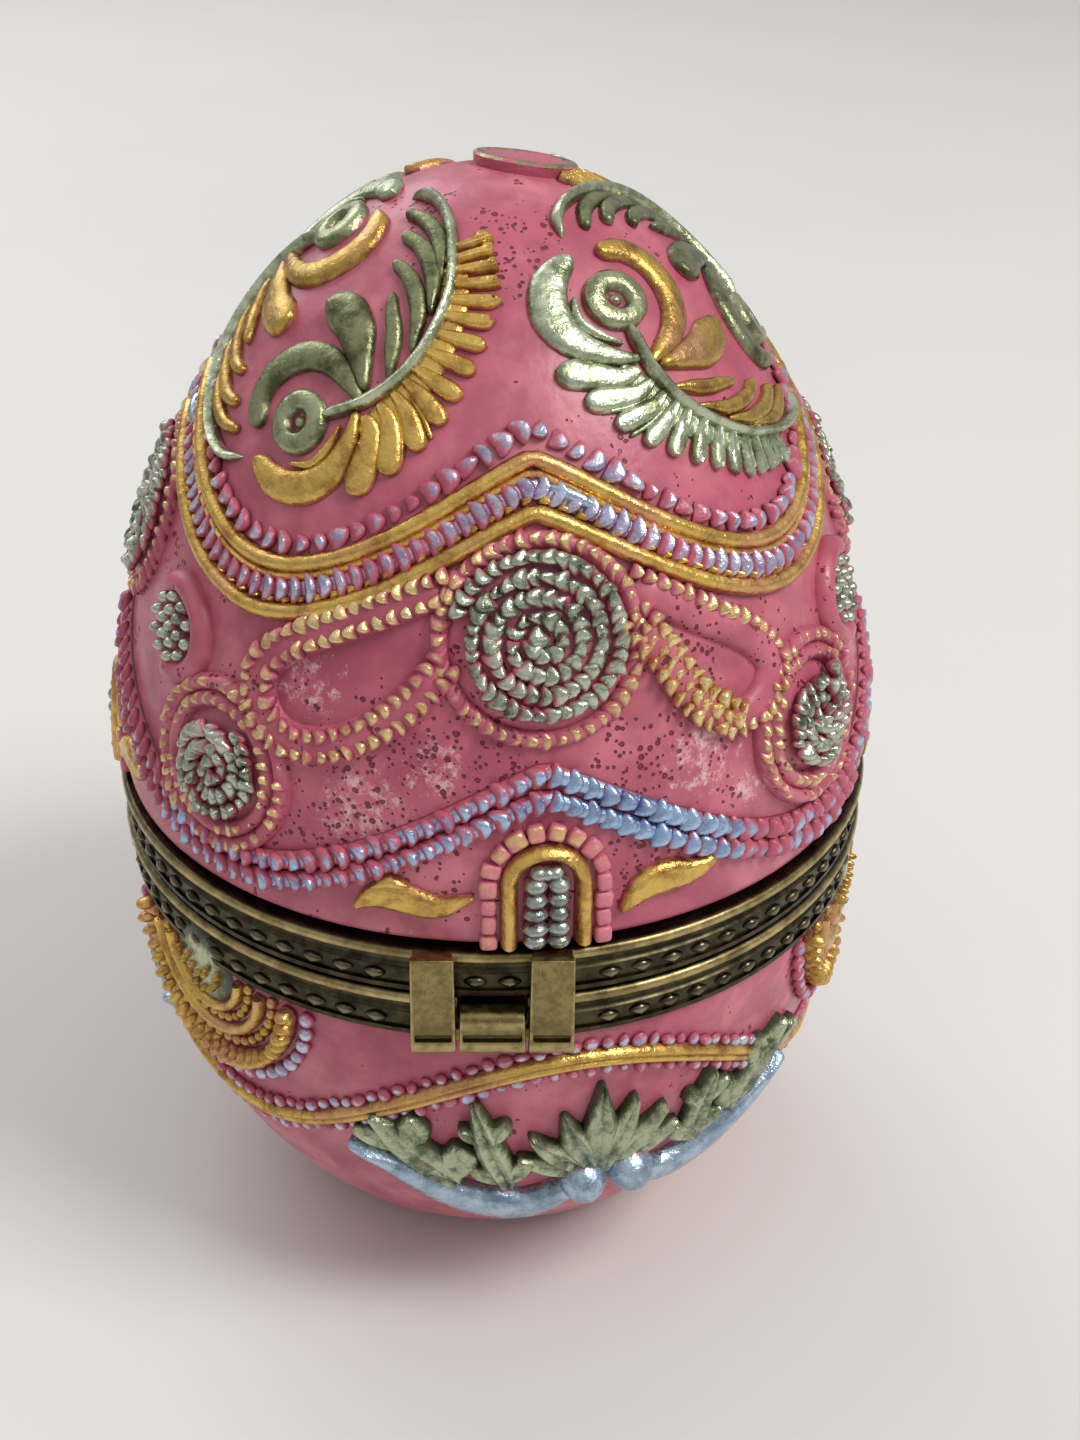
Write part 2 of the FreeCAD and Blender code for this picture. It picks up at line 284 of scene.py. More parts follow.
def make_diamond():
    """One long pointed bead of the stamped bezel band."""
    clear_selection()
    bpy.ops.mesh.primitive_uv_sphere_add(segments=8, ring_count=8, radius=0.5, rotation=(0, math.pi / 2, 0))
    bpy.ops.object.transform_apply(location=False, rotation=True, scale=False)
    corners, faces = take(bpy.context.object)
    corners[:, 1:] *= 1 - 1.1 * np.abs(corners[:, 0:1]) ** 1.3
    return corners, faces


GRAIN = make_grain()
LINK = make_link()
BLOCK = make_block()
DIAMOND = make_diamond()


def tube_faces(count, width, closed=False):
    """Faces over rows of corners, with capped ends unless the tube is closed."""
    faces = []
    for k in range(count if closed else count - 1):
        here, after = k * width, (k + 1) % count * width
        faces += [(here + j, after + j, after + j + 1, here + j + 1) for j in range(width - 1)]
        faces.append((here + width - 1, after + width - 1, after, here))
    if not closed:
        faces.append(tuple(range(width)))
        faces.append(tuple(range((count - 1) * width, count * width))[::-1])
    return faces


# ------------------------------------------------------------------ one cast piece of ornament
class Casting:
    """Gathers the corners, faces and height marks of one piece, then makes it."""

    def __init__(self):
        self.corners = []
        self.faces = []
        self.lift = []
        self.count = 0

    def add(self, corners, faces, lift):
        self.corners.append(np.asarray(corners, float))
        self.lift.append(np.asarray(lift, float))
        self.faces.extend([tuple(i + self.count for i in face) for face in faces])
        self.count += len(corners)

    def string(self, line, shape, pitch, size, closed=False, sink=0.25, wobble=0.08, twist=0.0):
        """Copies of a shape along a line; size is (along, across, high)."""
        corners, faces = shape
        low, high = corners[:, 2].min(), corners[:, 2].max()
        lift = (corners[:, 2] - low) / (high - low)
        for point, tangent, side, normal in zip(*stations(line, pitch, closed)):
            scale = [s * (1 + random.uniform(-wobble, wobble)) for s in size]
            rise = (0.5 - sink) * scale[2]
            yaw = random.uniform(-twist, twist)
            tangent, side = (math.cos(yaw) * tangent + math.sin(yaw) * side,
                             math.cos(yaw) * side - math.sin(yaw) * tangent)
            spot = (point + corners[:, :1] * scale[0] * tangent + corners[:, 1:2] * scale[1] * side
                    + (corners[:, 2:] * scale[2] + rise) * normal)
            self.add(spot, faces, lift)

    def band(self, line, section, pitch=0.6, closed=False, fade=0.0):
        """A moulding: section is a list of (side, rise) from one edge to the other."""
        place, _, side, normal = stations(line, pitch, closed)
        count, width = len(place), len(section)
        section = np.array(section)
        top = section[:, 1].max()
        shrink = np.ones(count)
        if fade:
            ends = np.minimum(np.arange(count), np.arange(count)[::-1]) * pitch / fade
            shrink = np.clip(np.sqrt(np.clip(ends, 0, 1)), 0.05, 1)
        corners = (place[:, None, :] + section[None, :, :1] * shrink[:, None, None] * side[:, None, :]
                   + section[None, :, 1:] * shrink[:, None, None] * normal[:, None, :])
        lift = np.tile(section[:, 1] / top, count)
        self.add(corners.reshape(-1, 3), tube_faces(count, width, closed), lift)

    def leaf(self, points, widths, rise, azimuth, level, turn=0.0, vein=0.0, steps=10):
        """A crowned blade with round ends along a few points, its widths spread evenly over its length."""
        spine = smooth_line(points, steps=8)
        run = np.concatenate([[0], np.cumsum(np.linalg.norm(np.diff(spine, axis=0), axis=1))])
        length = run[-1]
        first, last = (min(0.4 * length, 0.5 * w + 0.08) for w in (widths[0], widths[-1]))
        closing = 1 - np.cos(np.linspace(0.25, math.pi / 2, 5))
        along = np.concatenate([first * closing, np.linspace(first, length - last, steps)[1:-1],
                                length - last * closing[::-1]])
        ahead = np.gradient(spine, axis=0)
        ahead /= np.linalg.norm(ahead, axis=1, keepdims=True) + 1e-9
        place = np.stack([np.interp(along, run, spine[:, k]) for k in (0, 1)], -1)
        side = np.stack([-np.interp(along, run, ahead[:, 1]), np.interp(along, run, ahead[:, 0])], -1)
        nearest = np.minimum(np.minimum(along / first, (length - along) / last), 1)
        ends = np.sqrt(1 - (1 - nearest) ** 2)
        spread = np.interp(along / length, np.linspace(0, 1, len(widths)), widths) * ends
        across = np.array([-1, -0.95, -0.8, -0.45, 0, 0.45, 0.8, 0.95, 1])
        crown = np.array([-0.35, 0.3, 0.72, 0.97, 1 - vein, 0.97, 0.72, 0.3, -0.35])
        fullness = np.clip(spread / 0.7, 0.35, 1) ** 0.5
        flat = np.zeros((len(along), len(across), 3))
        reach = across[None, :, None] * spread[:, None, None] / 2
        flat[:, :, :2] = place[:, None, :] + reach * side[:, None, :]
        flat[:, :, 2] = crown[None, :] * fullness[:, None] * rise
        corners = wrap(flat.reshape(-1, 3), azimuth, level, turn)
        lift = np.clip(flat[:, :, 2] / rise, 0, 1).reshape(-1)
        self.add(corners, tube_faces(*flat.shape[:2]), lift)

    def dome(self, x, y, radius, rise, azimuth, level, turn=0.0, profile=None, segments=28):
        """A turned boss: profile is (share of radius, share of rise) from the middle outwards."""
        profile = profile or [(0, 1), (0.3, 0.97), (0.6, 0.82), (0.85, 0.5), (1, -0.2)]
        flat = [(x, y, profile[0][1] * rise)]
        for share, height in profile[1:]:
            for k in range(segments):
                angle = 2 * math.pi * k / segments
                flat.append((x + share * radius * math.cos(angle), y + share * radius * math.sin(angle),
                             height * rise))
        faces = [(0, 1 + k, 1 + (k + 1) % segments) for k in range(segments)]
        for ring in range(len(profile) - 2):
            low = 1 + ring * segments
            for k in range(segments):
                after = (k + 1) % segments
                faces.append((low + k, low + segments + k, low + segments + after, low + after))
        lift = [max(0, f[2]) / rise for f in flat]
        self.add(wrap(np.array(flat), azimuth, level, turn), faces, lift)

    def make(self, name, body, material, slot):
        mesh = bpy.data.meshes.new(name)
        mesh.from_pydata((np.vstack(self.corners) * MM).tolist(), [], self.faces)
        marks = mesh.attributes.new("lift", "FLOAT", "POINT")
        marks.data.foreach_set("value", np.concatenate(self.lift).astype(np.float32))
        mesh.validate()
        finish_piece(put_in_scene(name, mesh), body, material)


def finish_piece(piece, body, material, angle=50):
    """Turns the faces outwards, shades the piece and sets it on its body."""
    pick(piece)
    bpy.ops.object.mode_set(mode="EDIT")
    bpy.ops.mesh.select_all(action="SELECT")
    bpy.ops.mesh.normals_make_consistent(inside=False)
    bpy.ops.object.mode_set(mode="OBJECT")
    bpy.ops.object.shade_smooth_by_angle(angle=math.radians(angle))
    piece.data.materials.clear()
    piece.data.materials.append(material)
    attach(piece, body)


# ------------------------------------------------------------------ finishes
def new_material(name):
    material = bpy.data.materials.new(name)
    material.use_nodes = True
    tree = material.node_tree
    tree.nodes.clear()
    output = tree.nodes.new("ShaderNodeOutputMaterial")
    shader = tree.nodes.new("ShaderNodeBsdfPrincipled")
    tree.links.new(shader.outputs[0], output.inputs[0])
    return material, tree, shader


def join(tree, source, target):
    tree.links.new(source, target)


def noise(tree, size_mm, detail=3.0, roughness=0.55, stretch=None):
    """Noise on Object coordinates; size_mm is the size of its blotches."""
    place = tree.nodes.new("ShaderNodeTexCoord").outputs["Object"]
    if stretch:
        mapping = tree.nodes.new("ShaderNodeMapping")
        mapping.inputs["Scale"].default_value = stretch
        join(tree, place, mapping.inputs["Vector"])
        place = mapping.outputs["Vector"]
    texture = tree.nodes.new("ShaderNodeTexNoise")
    texture.inputs["Scale"].default_value = 1 / (size_mm * MM)
    texture.inputs["Detail"].default_value = detail
    texture.inputs["Roughness"].default_value = roughness
    join(tree, place, texture.inputs["Vector"])
    return texture.outputs["Fac"]


def ramp(tree, source, low, high, to_low=0.0, to_high=1.0):
    node = tree.nodes.new("ShaderNodeMapRange")
    node.interpolation_type = "SMOOTHSTEP"
    for key, value in zip(("From Min", "From Max", "To Min", "To Max"), (low, high, to_low, to_high)):
        node.inputs[key].default_value = value
    join(tree, source, node.inputs["Value"])
    return node.outputs["Result"]


def sums(tree, operation, a, b):
    node = tree.nodes.new("ShaderNodeMath")
    node.operation = operation
    for slot, value in zip(node.inputs, (a, b)):
        if isinstance(value, (int, float)):
            slot.default_value = value
        else:
            join(tree, value, slot)
    return node.outputs[0]


def mix(tree, factor, a, b):
    node = tree.nodes.new("ShaderNodeMix")
    node.data_type = "RGBA"
    sockets = [s for s in node.inputs if s.enabled]
    for slot, value in zip(sockets, (factor, a, b)):
        if isinstance(value, (int, float)):
            slot.default_value = value
        elif isinstance(value, tuple):
            slot.default_value = (*value, 1)
        else:
            join(tree, value, slot)
    return next(s for s in node.outputs if s.enabled)


def bump(tree, shader, height, depth_mm, strength=1.0, before=None):
    node = tree.nodes.new("ShaderNodeBump")
    node.inputs["Strength"].default_value = strength
    node.inputs["Distance"].default_value = depth_mm * MM
    join(tree, height, node.inputs["Height"])
    if before:
        join(tree, before, node.inputs["Normal"])
    join(tree, node.outputs["Normal"], shader.inputs["Normal"])
    return node.outputs["Normal"]


def height_mark(tree):
    node = tree.nodes.new("ShaderNodeAttribute")
    node.attribute_name = "lift"
    return node.outputs["Fac"]


PINK = (0.50, 0.105, 0.165)
PINK_DEEP = (0.24, 0.028, 0.06)
PINK_PALE = (0.64, 0.19, 0.25)
CHALK = (0.78, 0.52, 0.53)
# azimuth, level and reach of the places with many pits, and of those rubbed chalky
PORE_SPOTS = [(-4, 50.5, 5.5), (-14, 48.5, 4.5), (22, 50, 4.0), (30, 55.5, 3.5), (-9, 42.5, 4.5),
              (19, 42.5, 4.0), (8, 75.5, 4.0), (-22, 44.5, 3.0)]
CHALK_SPOTS = [(-17, 46.5, 5.5), (-8, 49.5, 3.5), (31, 48.5, 4.8), (38, 45.5, 3.0), (-27, 53.5, 4.0),
               (200, 48, 5.0), (120, 44, 4.0), (-110, 47, 4.0)]


def place_parts(tree):
    place = tree.nodes.new("ShaderNodeTexCoord").outputs["Object"]
    parts = tree.nodes.new("ShaderNodeSeparateXYZ")
    join(tree, place, parts.inputs[0])
    return parts


def distance_from_axis(tree):
    """How far a place is from the egg's upright axis."""
    parts = place_parts(tree)
    squares = [sums(tree, "MULTIPLY", parts.outputs[k], parts.outputs[k]) for k in (0, 1)]
    return sums(tree, "SQRT", sums(tree, "ADD", *squares), 0.0)


def near_spot(tree, azimuth, level, inner, outer):
    """1 close to a spot of the egg, fading to 0."""
    place = tree.nodes.new("ShaderNodeTexCoord").outputs["Object"]
    reach = tree.nodes.new("ShaderNodeVectorMath")
    reach.operation = "DISTANCE"
    join(tree, place, reach.inputs[0])
    reach.inputs[1].default_value = [c * MM for c in egg_points([azimuth], [level])[0]]
    return ramp(tree, reach.outputs["Value"], inner * MM, outer * MM, 1.0, 0.0)


def pores(tree):
    """Clusters of small casting pits: 1 in a pit, 0 outside."""
    place = tree.nodes.new("ShaderNodeTexCoord").outputs["Object"]
    level = place_parts(tree).outputs[2]
    belt = sums(tree, "MULTIPLY", ramp(tree, level, 40 * MM, 45 * MM),
                ramp(tree, level, 55 * MM, 62 * MM, 1.0, 0.0))
    tip = ramp(tree, level, 72 * MM, 77 * MM)
    favour = sums(tree, "MULTIPLY", sums(tree, "ADD", belt, tip), 0.08)
    for azimuth, spot_level, reach in PORE_SPOTS:
        near = sums(tree, "MULTIPLY", near_spot(tree, azimuth, spot_level, reach * 0.4, reach), 0.24)
        favour = sums(tree, "ADD", favour, near)
    spread = ramp(tree, sums(tree, "ADD", noise(tree, 3.0, 3.0), favour), 0.56, 0.68)
    pits = None
    for size, widest in ((0.7, 0.29), (0.5, 0.27)):
        cells = tree.nodes.new("ShaderNodeTexVoronoi")
        cells.inputs["Scale"].default_value = 1 / (size * MM)
        join(tree, place, cells.inputs["Vector"])
        width = ramp(tree, noise(tree, size * 1.4, 1.0), 0.3, 0.58, 0.11, widest)
        edge = sums(tree, "SUBTRACT", sums(tree, "MULTIPLY", width, spread), cells.outputs["Distance"])
        holes = ramp(tree, edge, -0.03, 0.05)
        pits = holes if pits is None else sums(tree, "MAXIMUM", pits, holes)
    return sums(tree, "MULTIPLY", pits, ramp(tree, spread, 0.1, 0.4))


def resin_material():
    material, tree, shader = new_material("cast_pink_resin")
    clouds = noise(tree, 9.0, 3.0)
    colour = mix(tree, ramp(tree, clouds, 0.38, 0.66), PINK, PINK_PALE)
    shade = ramp(tree, noise(tree, 3.0, 4.0), 0.35, 0.6, 0.38, 0.0)
    colour = mix(tree, shade, colour, PINK_DEEP)
    spots = None
    for azimuth, level, size in CHALK_SPOTS:
        spot = near_spot(tree, azimuth, level, size * 0.25, size)
        spots = spot if spots is None else sums(tree, "MAXIMUM", spots, spot)
    rubbed = sums(tree, "ADD", sums(tree, "MULTIPLY", spots, 0.2), noise(tree, 0.9, 6.0, 0.8))
    chalk = ramp(tree, rubbed, 0.66, 0.82)
    colour = mix(tree, sums(tree, "MULTIPLY", chalk, 0.85), colour, CHALK)
    pits = pores(tree)
    # painted shade: the pits are coloured dark red for the shade inside each hole; their depth is only a bump
    colour = mix(tree, sums(tree, "MULTIPLY", pits, 0.9), colour, (0.15, 0.010, 0.025))
    join(tree, colour, shader.inputs["Base Color"])
    join(tree, ramp(tree, noise(tree, 2.5, 3.0), 0.3, 0.7, 0.28, 0.46), shader.inputs["Roughness"])
    shader.inputs["Subsurface Weight"].default_value = 0.10
    shader.inputs["Subsurface Radius"].default_value = (1.0, 0.35, 0.3)
    shader.inputs["Subsurface Scale"].default_value = 0.001
    fine = bump(tree, shader, noise(tree, 0.9, 4.0), 0.06, 0.7)
    bump(tree, shader, sums(tree, "SUBTRACT", 1.0, pits), 0.25, 1.0, before=fine)
    return material


def rubbed_material(name, metal, metal_dark, under=PINK, cover=0.45, softness=0.2, shine=0.85, patch=0.5,
                    rough=(0.18, 0.42), heavy=(), copper=0.0):
    """Metallic paste rubbed over the resin: it stays on the high places."""
    material, tree, shader = new_material(name)
    lift = height_mark(tree)
    fine = sums(tree, "MULTIPLY", sums(tree, "SUBTRACT", noise(tree, 0.7, 4.0), 0.5), 0.9)
    coarse = sums(tree, "MULTIPLY", sums(tree, "SUBTRACT", noise(tree, 5.5, 2.0), 0.5), patch * 2)
    edge = sums(tree, "ADD", lift, sums(tree, "ADD", fine, coarse))
    for azimuth, level, reach, amount in heavy:
        spot = sums(tree, "MULTIPLY", near_spot(tree, azimuth, level, reach * 0.4, reach), amount)
        edge = sums(tree, "ADD", edge, spot)
    rub = ramp(tree, edge, 1 - cover - softness, 1 - cover + softness)
    # random tone from noise, plus a painted highlight: the metal is made lighter towards the crests of each piece
    worn = sums(tree, "ADD", noise(tree, 2.0, 5.0, 0.68), sums(tree, "MULTIPLY", lift, 0.16))
    tone = mix(tree, ramp(tree, worn, 0.46, 0.72), metal_dark, metal)
    if copper:
        coppery = ramp(tree, noise(tree, 7.0, 2.0), 0.5, 0.66, 0.0, copper)
        tone = mix(tree, coppery, tone, (0.66, 0.33, 0.20))
    # painted shade: the low parts of each piece, at its foot and in the gaps between its beads, are darkened to 30
    # % of the ground colour
    painted_low_shade = tuple(c * 0.30 for c in under)
    ground = mix(tree, ramp(tree, lift, 0.0, 0.5), painted_low_shade, under)
    join(tree, mix(tree, rub, ground, tone), shader.inputs["Base Color"])
    join(tree, sums(tree, "MULTIPLY", rub, shine), shader.inputs["Metallic"])
    join(tree, ramp(tree, noise(tree, 0.9, 4.0), 0.32, 0.68, *rough), shader.inputs["Roughness"])
    bump(tree, shader, noise(tree, 0.6, 4.0, 0.62), 0.11, 1.0)
    return material


def metal_surface(tree, shader, colour, blotch, rough, grain, depth, strength):
    """What all the brass finishes share: bare metal with uneven gloss and a fine grain."""
    join(tree, colour, shader.inputs["Base Color"])
    shader.inputs["Metallic"].default_value = 1.0
    join(tree, ramp(tree, noise(tree, blotch, 4.0), 0.3, 0.7, *rough), shader.inputs["Roughness"])
    bump(tree, shader, noise(tree, *grain), depth, strength)


def brass_material():
    """Antiqued brass: dark in the hollows, rubbed bright on the ridges."""
    material, tree, shader = new_material("antique_brass")
    ridge = ramp(tree, distance_from_axis(tree), 27.53 * MM, 27.76 * MM)
    stain = ramp(tree, noise(tree, 1.4, 5.0, 0.6), 0.34, 0.66)
    worn = sums(tree, "MULTIPLY", ridge, ramp(tree, noise(tree, 4.0, 3.0), 0.25, 0.6, 0.5, 1.0))
    aged = mix(tree, stain, (0.030, 0.026, 0.016), (0.085, 0.070, 0.038))
    bright = mix(tree, stain, (0.30, 0.225, 0.085), (0.55, 0.44, 0.20))
    colour = mix(tree, worn, aged, bright)
    metal_surface(tree, shader, colour, 1.0, (0.24, 0.42), (0.5, 4.0, 0.6), 0.02, 0.7)
    return material


def strap_material():
    """Worn flat brass with fine scratches, darker away from the rubbed edges."""
    material, tree, shader = new_material("worn_brass")
    lift = height_mark(tree)
    stain = ramp(tree, noise(tree, 0.6, 5.0, 0.7), 0.34, 0.66)
    # painted shade: the brass is darkened below 34 mm, most below 32 mm, round the slots and rolled lips of the
    # knuckles
    slot_painted_shade = ramp(tree, place_parts(tree).outputs[2], 32.0 * MM, 34.0 * MM, 0.55, 0.0)
    scratch = ramp(tree, noise(tree, 0.12, 2.0, stretch=(1.0, 0.3, 0.06)), 0.68, 0.76)
    aged = mix(tree, stain, (0.15, 0.118, 0.045), (0.29, 0.23, 0.095))
    aged = mix(tree, slot_painted_shade, aged, (0.09, 0.07, 0.028))
    worn = sums(tree, "MAXIMUM", sums(tree, "MULTIPLY", scratch, 0.5),
                sums(tree, "MULTIPLY", lift, ramp(tree, noise(tree, 0.8, 3.0), 0.3, 0.6, 0.3, 0.95)))
    colour = mix(tree, worn, aged, (0.60, 0.48, 0.22))
    metal_surface(tree, shader, colour, 0.7, (0.26, 0.46), (0.28, 5.0, 0.7), 0.03, 0.9)
    return material


# dark cement for the joints, and also the near-black painted-shade finish of the sheet behind the hinge window
def cement_and_shade_material(name="dark_cement", low=(0.035, 0.03, 0.025), high=(0.09, 0.075, 0.055)):
    material, tree, shader = new_material(name)
    join(tree, mix(tree, noise(tree, 0.7, 4.0), low, high), shader.inputs["Base Color"])
    shader.inputs["Roughness"].default_value = 0.85
    bump(tree, shader, noise(tree, 0.4, 4.0), 0.08, 1.0)
    return material


RESIN = resin_material()
GOLD = rubbed_material("gold_rub", (0.74, 0.49, 0.13), (0.38, 0.19, 0.05), cover=0.70, patch=0.28,
                       copper=0.5)
ROSE_GOLD = rubbed_material("rose_gold_rub", (0.80, 0.60, 0.30), (0.58, 0.32, 0.18), cover=0.20, patch=0.4)
ROPE_GOLD = rubbed_material("rope_gold_rub", (0.82, 0.64, 0.32), (0.58, 0.32, 0.14), cover=0.2, patch=0.35,
                            heavy=((30, 53.5, 6.0, 0.5), (210, 53.5, 6.0, 0.5), (-20, 58.5, 6.0, 0.2)))
PALE_BLOCKS = rubbed_material("pale_block_rub", (0.80, 0.58, 0.24), (0.60, 0.30, 0.16), under=PINK_PALE,
                              cover=-0.02, patch=0.8)
BRONZE = rubbed_material("bronze_gold_rub", (0.56, 0.37, 0.09), (0.30, 0.15, 0.04), cover=0.72, patch=0.3,
                         copper=0.6)
LILAC = rubbed_material("lilac_blue_rub", (0.60, 0.62, 0.80), (0.38, 0.30, 0.48), cover=0.12, patch=0.5,
                        softness=0.14,
                        heavy=((14, 63.5, 5.0, 0.4), (45, 60, 6.0, 0.2), (-32, 26.5, 8.0, 0.3)))
SWAG_BLUE = rubbed_material("swag_blue_rub", (0.42, 0.60, 0.84), (0.27, 0.32, 0.54), cover=0.10, patch=0.45,
                            softness=0.14, heavy=((17, 47.2, 5.5, 0.6), (27, 43.5, 6.0, 0.3)))
SILVER_GREEN = rubbed_material("silver_green_rub", (0.52, 0.58, 0.42), (0.19, 0.22, 0.11), cover=0.76,
                               patch=0.25)
EYE_GREEN = rubbed_material("eye_green_rub", (0.40, 0.43, 0.26), (0.16, 0.18, 0.09), cover=0.70, patch=0.2)
OLIVE = rubbed_material("olive_rub", (0.25, 0.27, 0.14), (0.075, 0.08, 0.035), cover=0.78, patch=0.2,
                        shine=0.7)
OLIVE_RIM = rubbed_material("olive_rim_rub", (0.36, 0.34, 0.18), (0.16, 0.14, 0.08), cover=0.13, patch=0.05,
                            softness=0.06)
COIL_GREEN = rubbed_material("coil_green_rub", (0.52, 0.57, 0.46), (0.11, 0.135, 0.09), cover=0.46,
                             patch=0.5, rough=(0.12, 0.30))
STEEL = rubbed_material("steel_rub", (0.42, 0.46, 0.44), (0.12, 0.14, 0.13), cover=0.55, patch=0.3,
                        rough=(0.14, 0.32))
BLUE_SILVER = rubbed_material("blue_silver_rub", (0.48, 0.60, 0.74), (0.24, 0.34, 0.44), cover=0.80,
                              patch=0.2, rough=(0.16, 0.34))
LEAF_GREEN = rubbed_material("leaf_green_rub", (0.50, 0.55, 0.37), (0.11, 0.155, 0.085),
                             under=(0.065, 0.07, 0.035), cover=0.33, patch=0.32, rough=(0.14, 0.34))
BRASS = brass_material()
WORN_BRASS = strap_material()
CEMENT = cement_and_shade_material()
# painted shade: near-black finish for the sheet behind the hinge window
WINDOW_SHADE_FINISH = cement_and_shade_material("window_painted_shade", (0.006, 0.005, 0.004), (0.016, 0.012, 0.010))


# ------------------------------------------------------------------ turned shells
def turned_piece(name, outline, body, material):
    """Spins a closed outline of (radius, level) round the egg's axis."""
    mesh = bpy.data.meshes.new(name)
    corners = [(r * MM, 0, z * MM) for r, z in outline]
    count = len(corners)
    mesh.from_pydata(corners, [(k, (k + 1) % count) for k in range(count)], [])
    piece = put_in_scene(name, mesh)
    pick(piece)
    bpy.ops.object.mode_set(mode="EDIT")
    bpy.ops.mesh.select_mode(type="VERT")
    bpy.ops.mesh.select_all(action="SELECT")
    bpy.ops.mesh.spin(steps=160, angle=2 * math.pi, center=(0, 0, 0), axis=(0, 0, 1))
    bpy.ops.mesh.select_all(action="SELECT")
    bpy.ops.mesh.remove_doubles(threshold=0.00001)
    bpy.ops.object.mode_set(mode="OBJECT")
    finish_piece(piece, body, material)
    return piece


def egg_arc(low, high, count, **size):
    """Outline points up the egg; even in angle above the widest level."""
    tip = size.get("tip", EGG_TIP)
    levels = []
    if low < WIDEST:
        levels += list(np.linspace(low, min(high, WIDEST), max(3, int(count * 0.4)), endpoint=False))
    if high > WIDEST:
        start = math.asin(max(0.0, (low - WIDEST) / (tip - WIDEST)))
        end = math.asin(min(1.0, (high - WIDEST) / (tip - WIDEST)))
        levels += [WIDEST + (tip - WIDEST) * math.sin(a) for a in np.linspace(start, end, count)]
    return [(float(egg_radius(z, **size)), float(z)) for z in levels]


def make_lid_shell():
    inside = dict(radius=LID_BORE, tip=EGG_TIP - LID_CROWN, foot_radius=FLOOR_RADIUS, foot=FLOOR)
    outline = [(RIM_RADIUS, LID_LOW.z), (RIM_RADIUS, LID_SHOULDER)]
    shoulder = float(egg_radius(LID_SHOULDER + 0.5))
    for k in range(4):
        angle = math.pi / 2 * k / 3
        outline.append((shoulder - 0.5 + 0.5 * math.sin(angle), LID_SHOULDER + 0.5 - 0.5 * math.cos(angle)))
    outline += egg_arc(LID_SHOULDER + 0.7, EGG_TIP, 70)
    outline[-1] = (0.0, EGG_TIP)
    inner = egg_arc(LID_LOW.z, EGG_TIP - LID_CROWN, 40, **inside)
    inner[-1] = (0.0, EGG_TIP - LID_CROWN)
    outline += inner[::-1]
    shell = turned_piece("lid_egg_shell", outline, "lid", RESIN)
    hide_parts("lid_shell")


def make_base_shell():
    inside = dict(radius=BASE_BORE, tip=EGG_TIP - LID_CROWN, foot_radius=FLOOR_RADIUS, foot=FLOOR)
    outline = [(0.0, 0.35), (FOOT_RADIUS - 2.4, 0.35), (FOOT_RADIUS - 1.8, 0.0), (FOOT_RADIUS - 0.4, 0.0)]
    outline += [(float(egg_radius(z)) - 0.3 * (1 - z), z) for z in (0.15, 0.45, 0.9)]
    outline += egg_arc(1.6, BASE_SHOULDER - 0.45, 44)
    outline[-1] = (float(egg_radius(BASE_SHOULDER - 0.45)), BASE_SHOULDER - 0.45)
    outline += [(outline[-1][0] - 0.12, BASE_SHOULDER - 0.12), (outline[-1][0] - 0.45, BASE_SHOULDER)]
    outline += [(RIM_RADIUS, BASE_SHOULDER), (RIM_RADIUS, BASE_HIGH.z), (COLLAR_HIGH.x, BASE_HIGH.z)]
    outline += [(COLLAR_HIGH.x, COLLAR_LOW.z)]
    inner = egg_arc(FLOOR, COLLAR_LOW.z, 30, **inside)
    outline += inner[::-1] + [(0.0, FLOOR)]
    shell = turned_piece("base_egg_shell", outline, "base", RESIN)
    make_hinge_room(shell)
    finish_piece(shell, "base", RESIN)
    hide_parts("base_shell")


# ------------------------------------------------------------------ the lid's ornament
def lid_wave(azimuths, peak, valley, steepness=0.75):
    """Level of a wave with a sharp cusp every quarter turn."""
    gap = np.abs((np.asarray(azimuths) - LID_TURN + 45) % 90 - 45) / 45
    drop = 3 * gap ** 2 - 2 * gap ** 3 + steepness * (gap ** 3 - 2 * gap ** 2 + gap)
    return peak - (peak - valley) * drop


def lid_ring(peak, valley, steepness=0.75):
    turn = np.linspace(0, 360, 720, endpoint=False) + LID_TURN
    return egg_points(turn, lid_wave(turn, peak, valley, steepness))


def hump(width, rise, steps=6):
    """Half-round section, its foot sunk a little."""
    sink = 0.25
    out = [(-width / 2, -sink)]
    for k in range(steps + 1):
        angle = math.pi * k / steps
        out.append((-width / 2 * math.cos(angle), rise * math.sin(angle)))
    return out + [(width / 2, -sink)]


